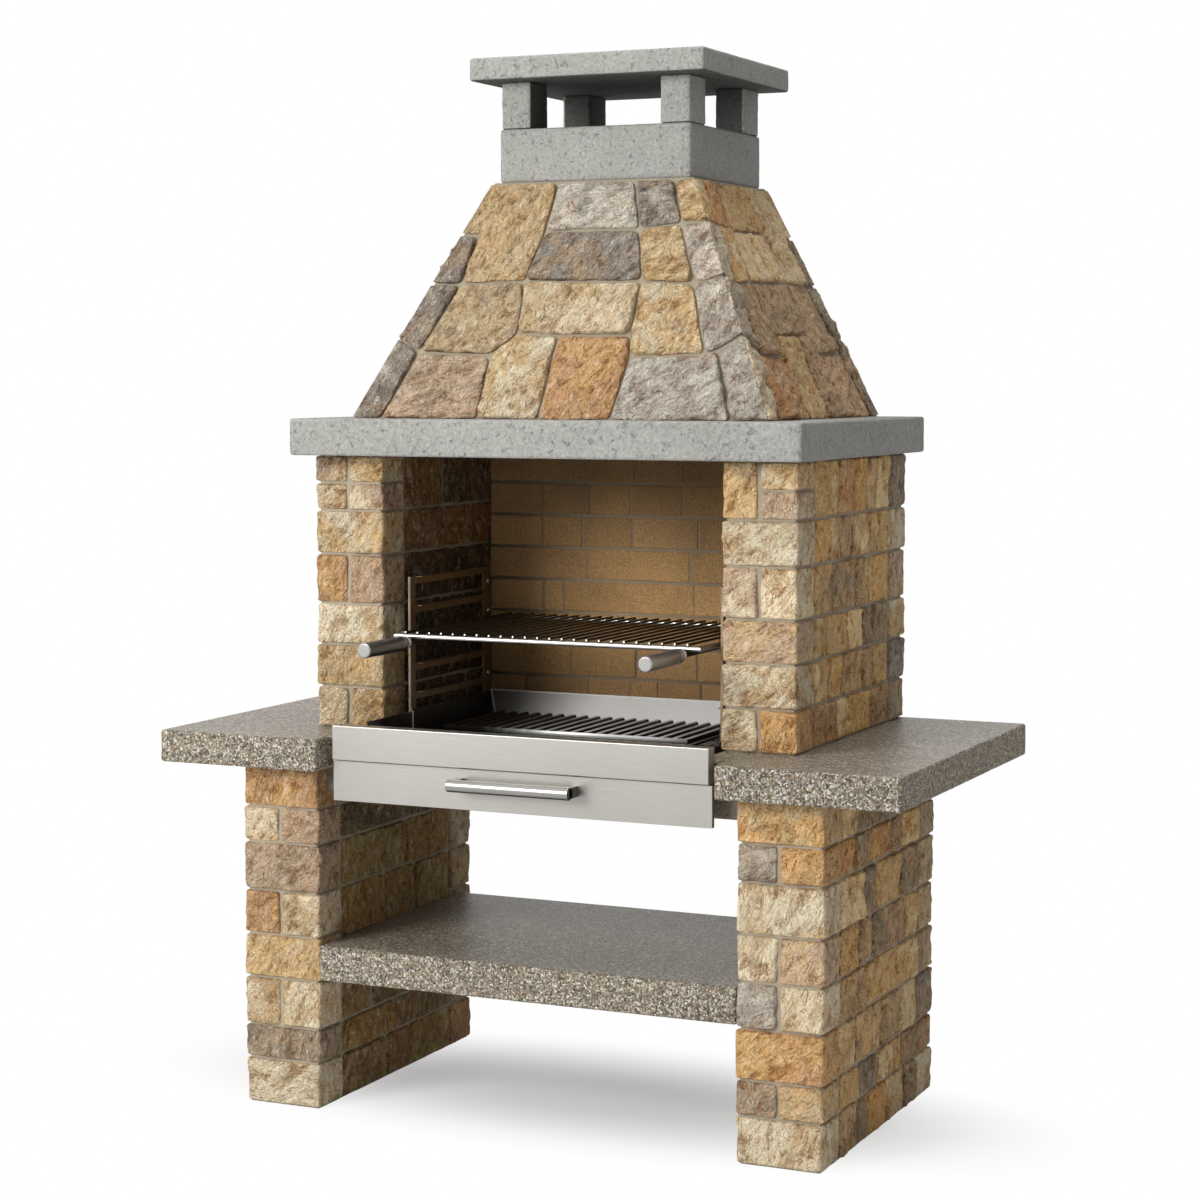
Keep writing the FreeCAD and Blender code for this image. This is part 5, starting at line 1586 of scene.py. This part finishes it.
# The weld beads' radius, and how near the ember plate's top or bottom a point is on its edge
SEAM_SIZE = 0.0016
SEAM_NEAR = 0.004
# The guard's sheet, and how far its top lies below the wall's
GUARD_THICKNESS = 0.002
GUARD_DROP = 0.005


def bead(shape, start, run):
    """A weld bead along a straight run."""
    profile = rod_profile(run.length, SEAM_SIZE, SEAM_SIZE * 0.5)
    turn(shape, start, run.normalized(), profile, 10)


def guard_box():
    """The corners of the sheet that raises the fire tray's left wall in front of the rack."""
    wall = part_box("tray_left_wall")[1]
    low = Vector((wall.x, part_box("front_apron")[1].y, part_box("tray_floor")[1].z))
    return low, Vector((wall.x + GUARD_THICKNESS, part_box("left_rack_posts")[0].y, wall.z - GUARD_DROP))


def ember_seams():
    """The welds at the ember plate's slanting ends, its rolled upper lip and the guard's upright bead."""
    points = points_of("ember_plate")
    low, high = limits(points)
    head = max(point.x for point in points if high.z - point.z < SEAM_NEAR)
    foot = max(point.x for point in points if point.z - low.z < SEAM_NEAR)
    shape = Shape()
    for side in (-1, 1):
        top = Vector((side * head, high.y - SEAM_SIZE, high.z))
        bead(shape, top, Vector((side * foot, low.y, low.z + SEAM_SIZE)) - top)
    bead(shape, Vector((-head, high.y - SEAM_SIZE, high.z)), Vector((2 * head, 0, 0)))
    guard_low, guard_high = guard_box()
    bead(shape, Vector((*guard_high.xy, guard_low.z)), Vector((0, 0, guard_high.z - guard_low.z)))
    add_detail(shape.piece("ember_plate_seams"), "weld_steel", "masonry")


def tray_guard():
    """A black sheet that raises the fire tray's left wall in front of the rack."""
    shape = Shape()
    block(shape, *guard_box(), GUARD_THICKNESS * 0.2)
    add_detail(shape.piece("tray_left_guard"), "sooted_sheet", "masonry")


# Stage

PHOTO_PLACE = Vector((2.3086, -5.0761, 1.5078))
PHOTO_AIM = Vector((0.0387, -0.0879, 1.0437))
PHOTO_LENS = 80.82
SENSOR = 36.0
# Where each lamp stands, its width and its power
LAMPS = {"key": ((-2.4, -5.0, 3.0), 2.6, 250.0), "top": ((0.0, -0.4, 6.0), 4.0, 130.0)}
LAMP_AIM = Vector((0.0, 0.0, 1.0))
WORLD_LIGHT = 0.27
# The floor's reach, its colour, and the middle of the shadow and how it is drawn out
FLOOR_REACH = 30.0
FLOOR_COLOUR = (0.86, 0.86, 0.86, 1.0)
SHADOW_MIDDLE = (0.0, -0.05, 0.0)
SHADOW_SHAPE = (0.88, 2.2, 0.0)


def stand(thing, place, aim):
    """Puts a camera or lamp at a place, turned towards its aim."""
    thing.location = place
    thing.rotation_euler = (aim - place).to_track_quat("-Z", "Y").to_euler()
    bpy.context.scene.collection.objects.link(thing)


def photo_camera():
    data = bpy.data.cameras.new("photo_camera")
    data.sensor_width = SENSOR
    data.lens = PHOTO_LENS
    camera = bpy.data.objects.new("photo_camera", data)
    stand(camera, PHOTO_PLACE, PHOTO_AIM)
    bpy.context.scene.camera = camera


def soft_lamp(name, place, size, power):
    data = bpy.data.lights.new(name, "AREA")
    data.shape = "DISK"
    data.size = size
    data.energy = power
    stand(bpy.data.objects.new(name, data), Vector(place), LAMP_AIM)


def white_world():
    """White where it is seen, and dimmer where it only lights."""
    world = bpy.data.worlds.new("studio")
    bpy.context.scene.world = world
    world.use_nodes = True
    nodes = Nodes(world.node_tree)
    strength = nodes.node("ShaderNodeMapRange", {}, {
        "Value": nodes.seen_directly(), "To Min": WORLD_LIGHT, "To Max": 1.0})
    background = world.node_tree.nodes["Background"]
    nodes.feed(background.inputs["Color"], WHITE)
    nodes.feed(background.inputs["Strength"], strength)


def pale_floor():
    """A white floor that keeps the shadow near the barbecue and fades into the white world."""
    mesh = bpy.data.meshes.new("floor")
    plan = rectangle(-FLOOR_REACH, FLOOR_REACH, -FLOOR_REACH, FLOOR_REACH)
    mesh.from_pydata([(*corner, 0.0) for corner in plan], [], [(0, 1, 2, 3)])
    floor = bpy.data.objects.new("floor", mesh)
    bpy.context.scene.collection.objects.link(floor)
    finish = Finish("floor")
    from_middle = finish.vector("SUBTRACT", finish.place(), SHADOW_MIDDLE)
    away = finish.vector("LENGTH", finish.stretched(from_middle, SHADOW_SHAPE), output="Value")
    fade = 0.28 + 0.72 * finish.fade(away, 0.12, 1.05)
    white = finish.node("ShaderNodeEmission", {}, {})
    blend = finish.node("ShaderNodeMixShader", {}, {
        0: fade * finish.seen_directly(), 1: finish.shader, 2: white})
    finish.feed(finish.output.inputs["Surface"], blend)
    mesh.materials.append(finish.set(Base_Color=FLOOR_COLOUR, Roughness=0.95))


# Assembly

for number, name in enumerate(INNER_SHADES):
    pier_core(name)
    corner_stones(name, number + 1)
    side_stones(name, number + SIDE_SEED)

hood_backing()
for seed, side in enumerate(SLOPES, start=HOOD_SEED):
    hood_stones(side, seed)

fire_bricks()
terrazzo_slab("worktop_slab", "worktop")
terrazzo_slab("storage_shelf", "shelf")
concrete_caps()
sheet_pieces()
grates()
rack_screws()
drawer_handle()
ember_seams()
tray_guard()

white_world()
for name, lamp in LAMPS.items():
    soft_lamp(name, *lamp)
pale_floor()
photo_camera()
bpy.context.scene.view_settings.view_transform = "Standard"
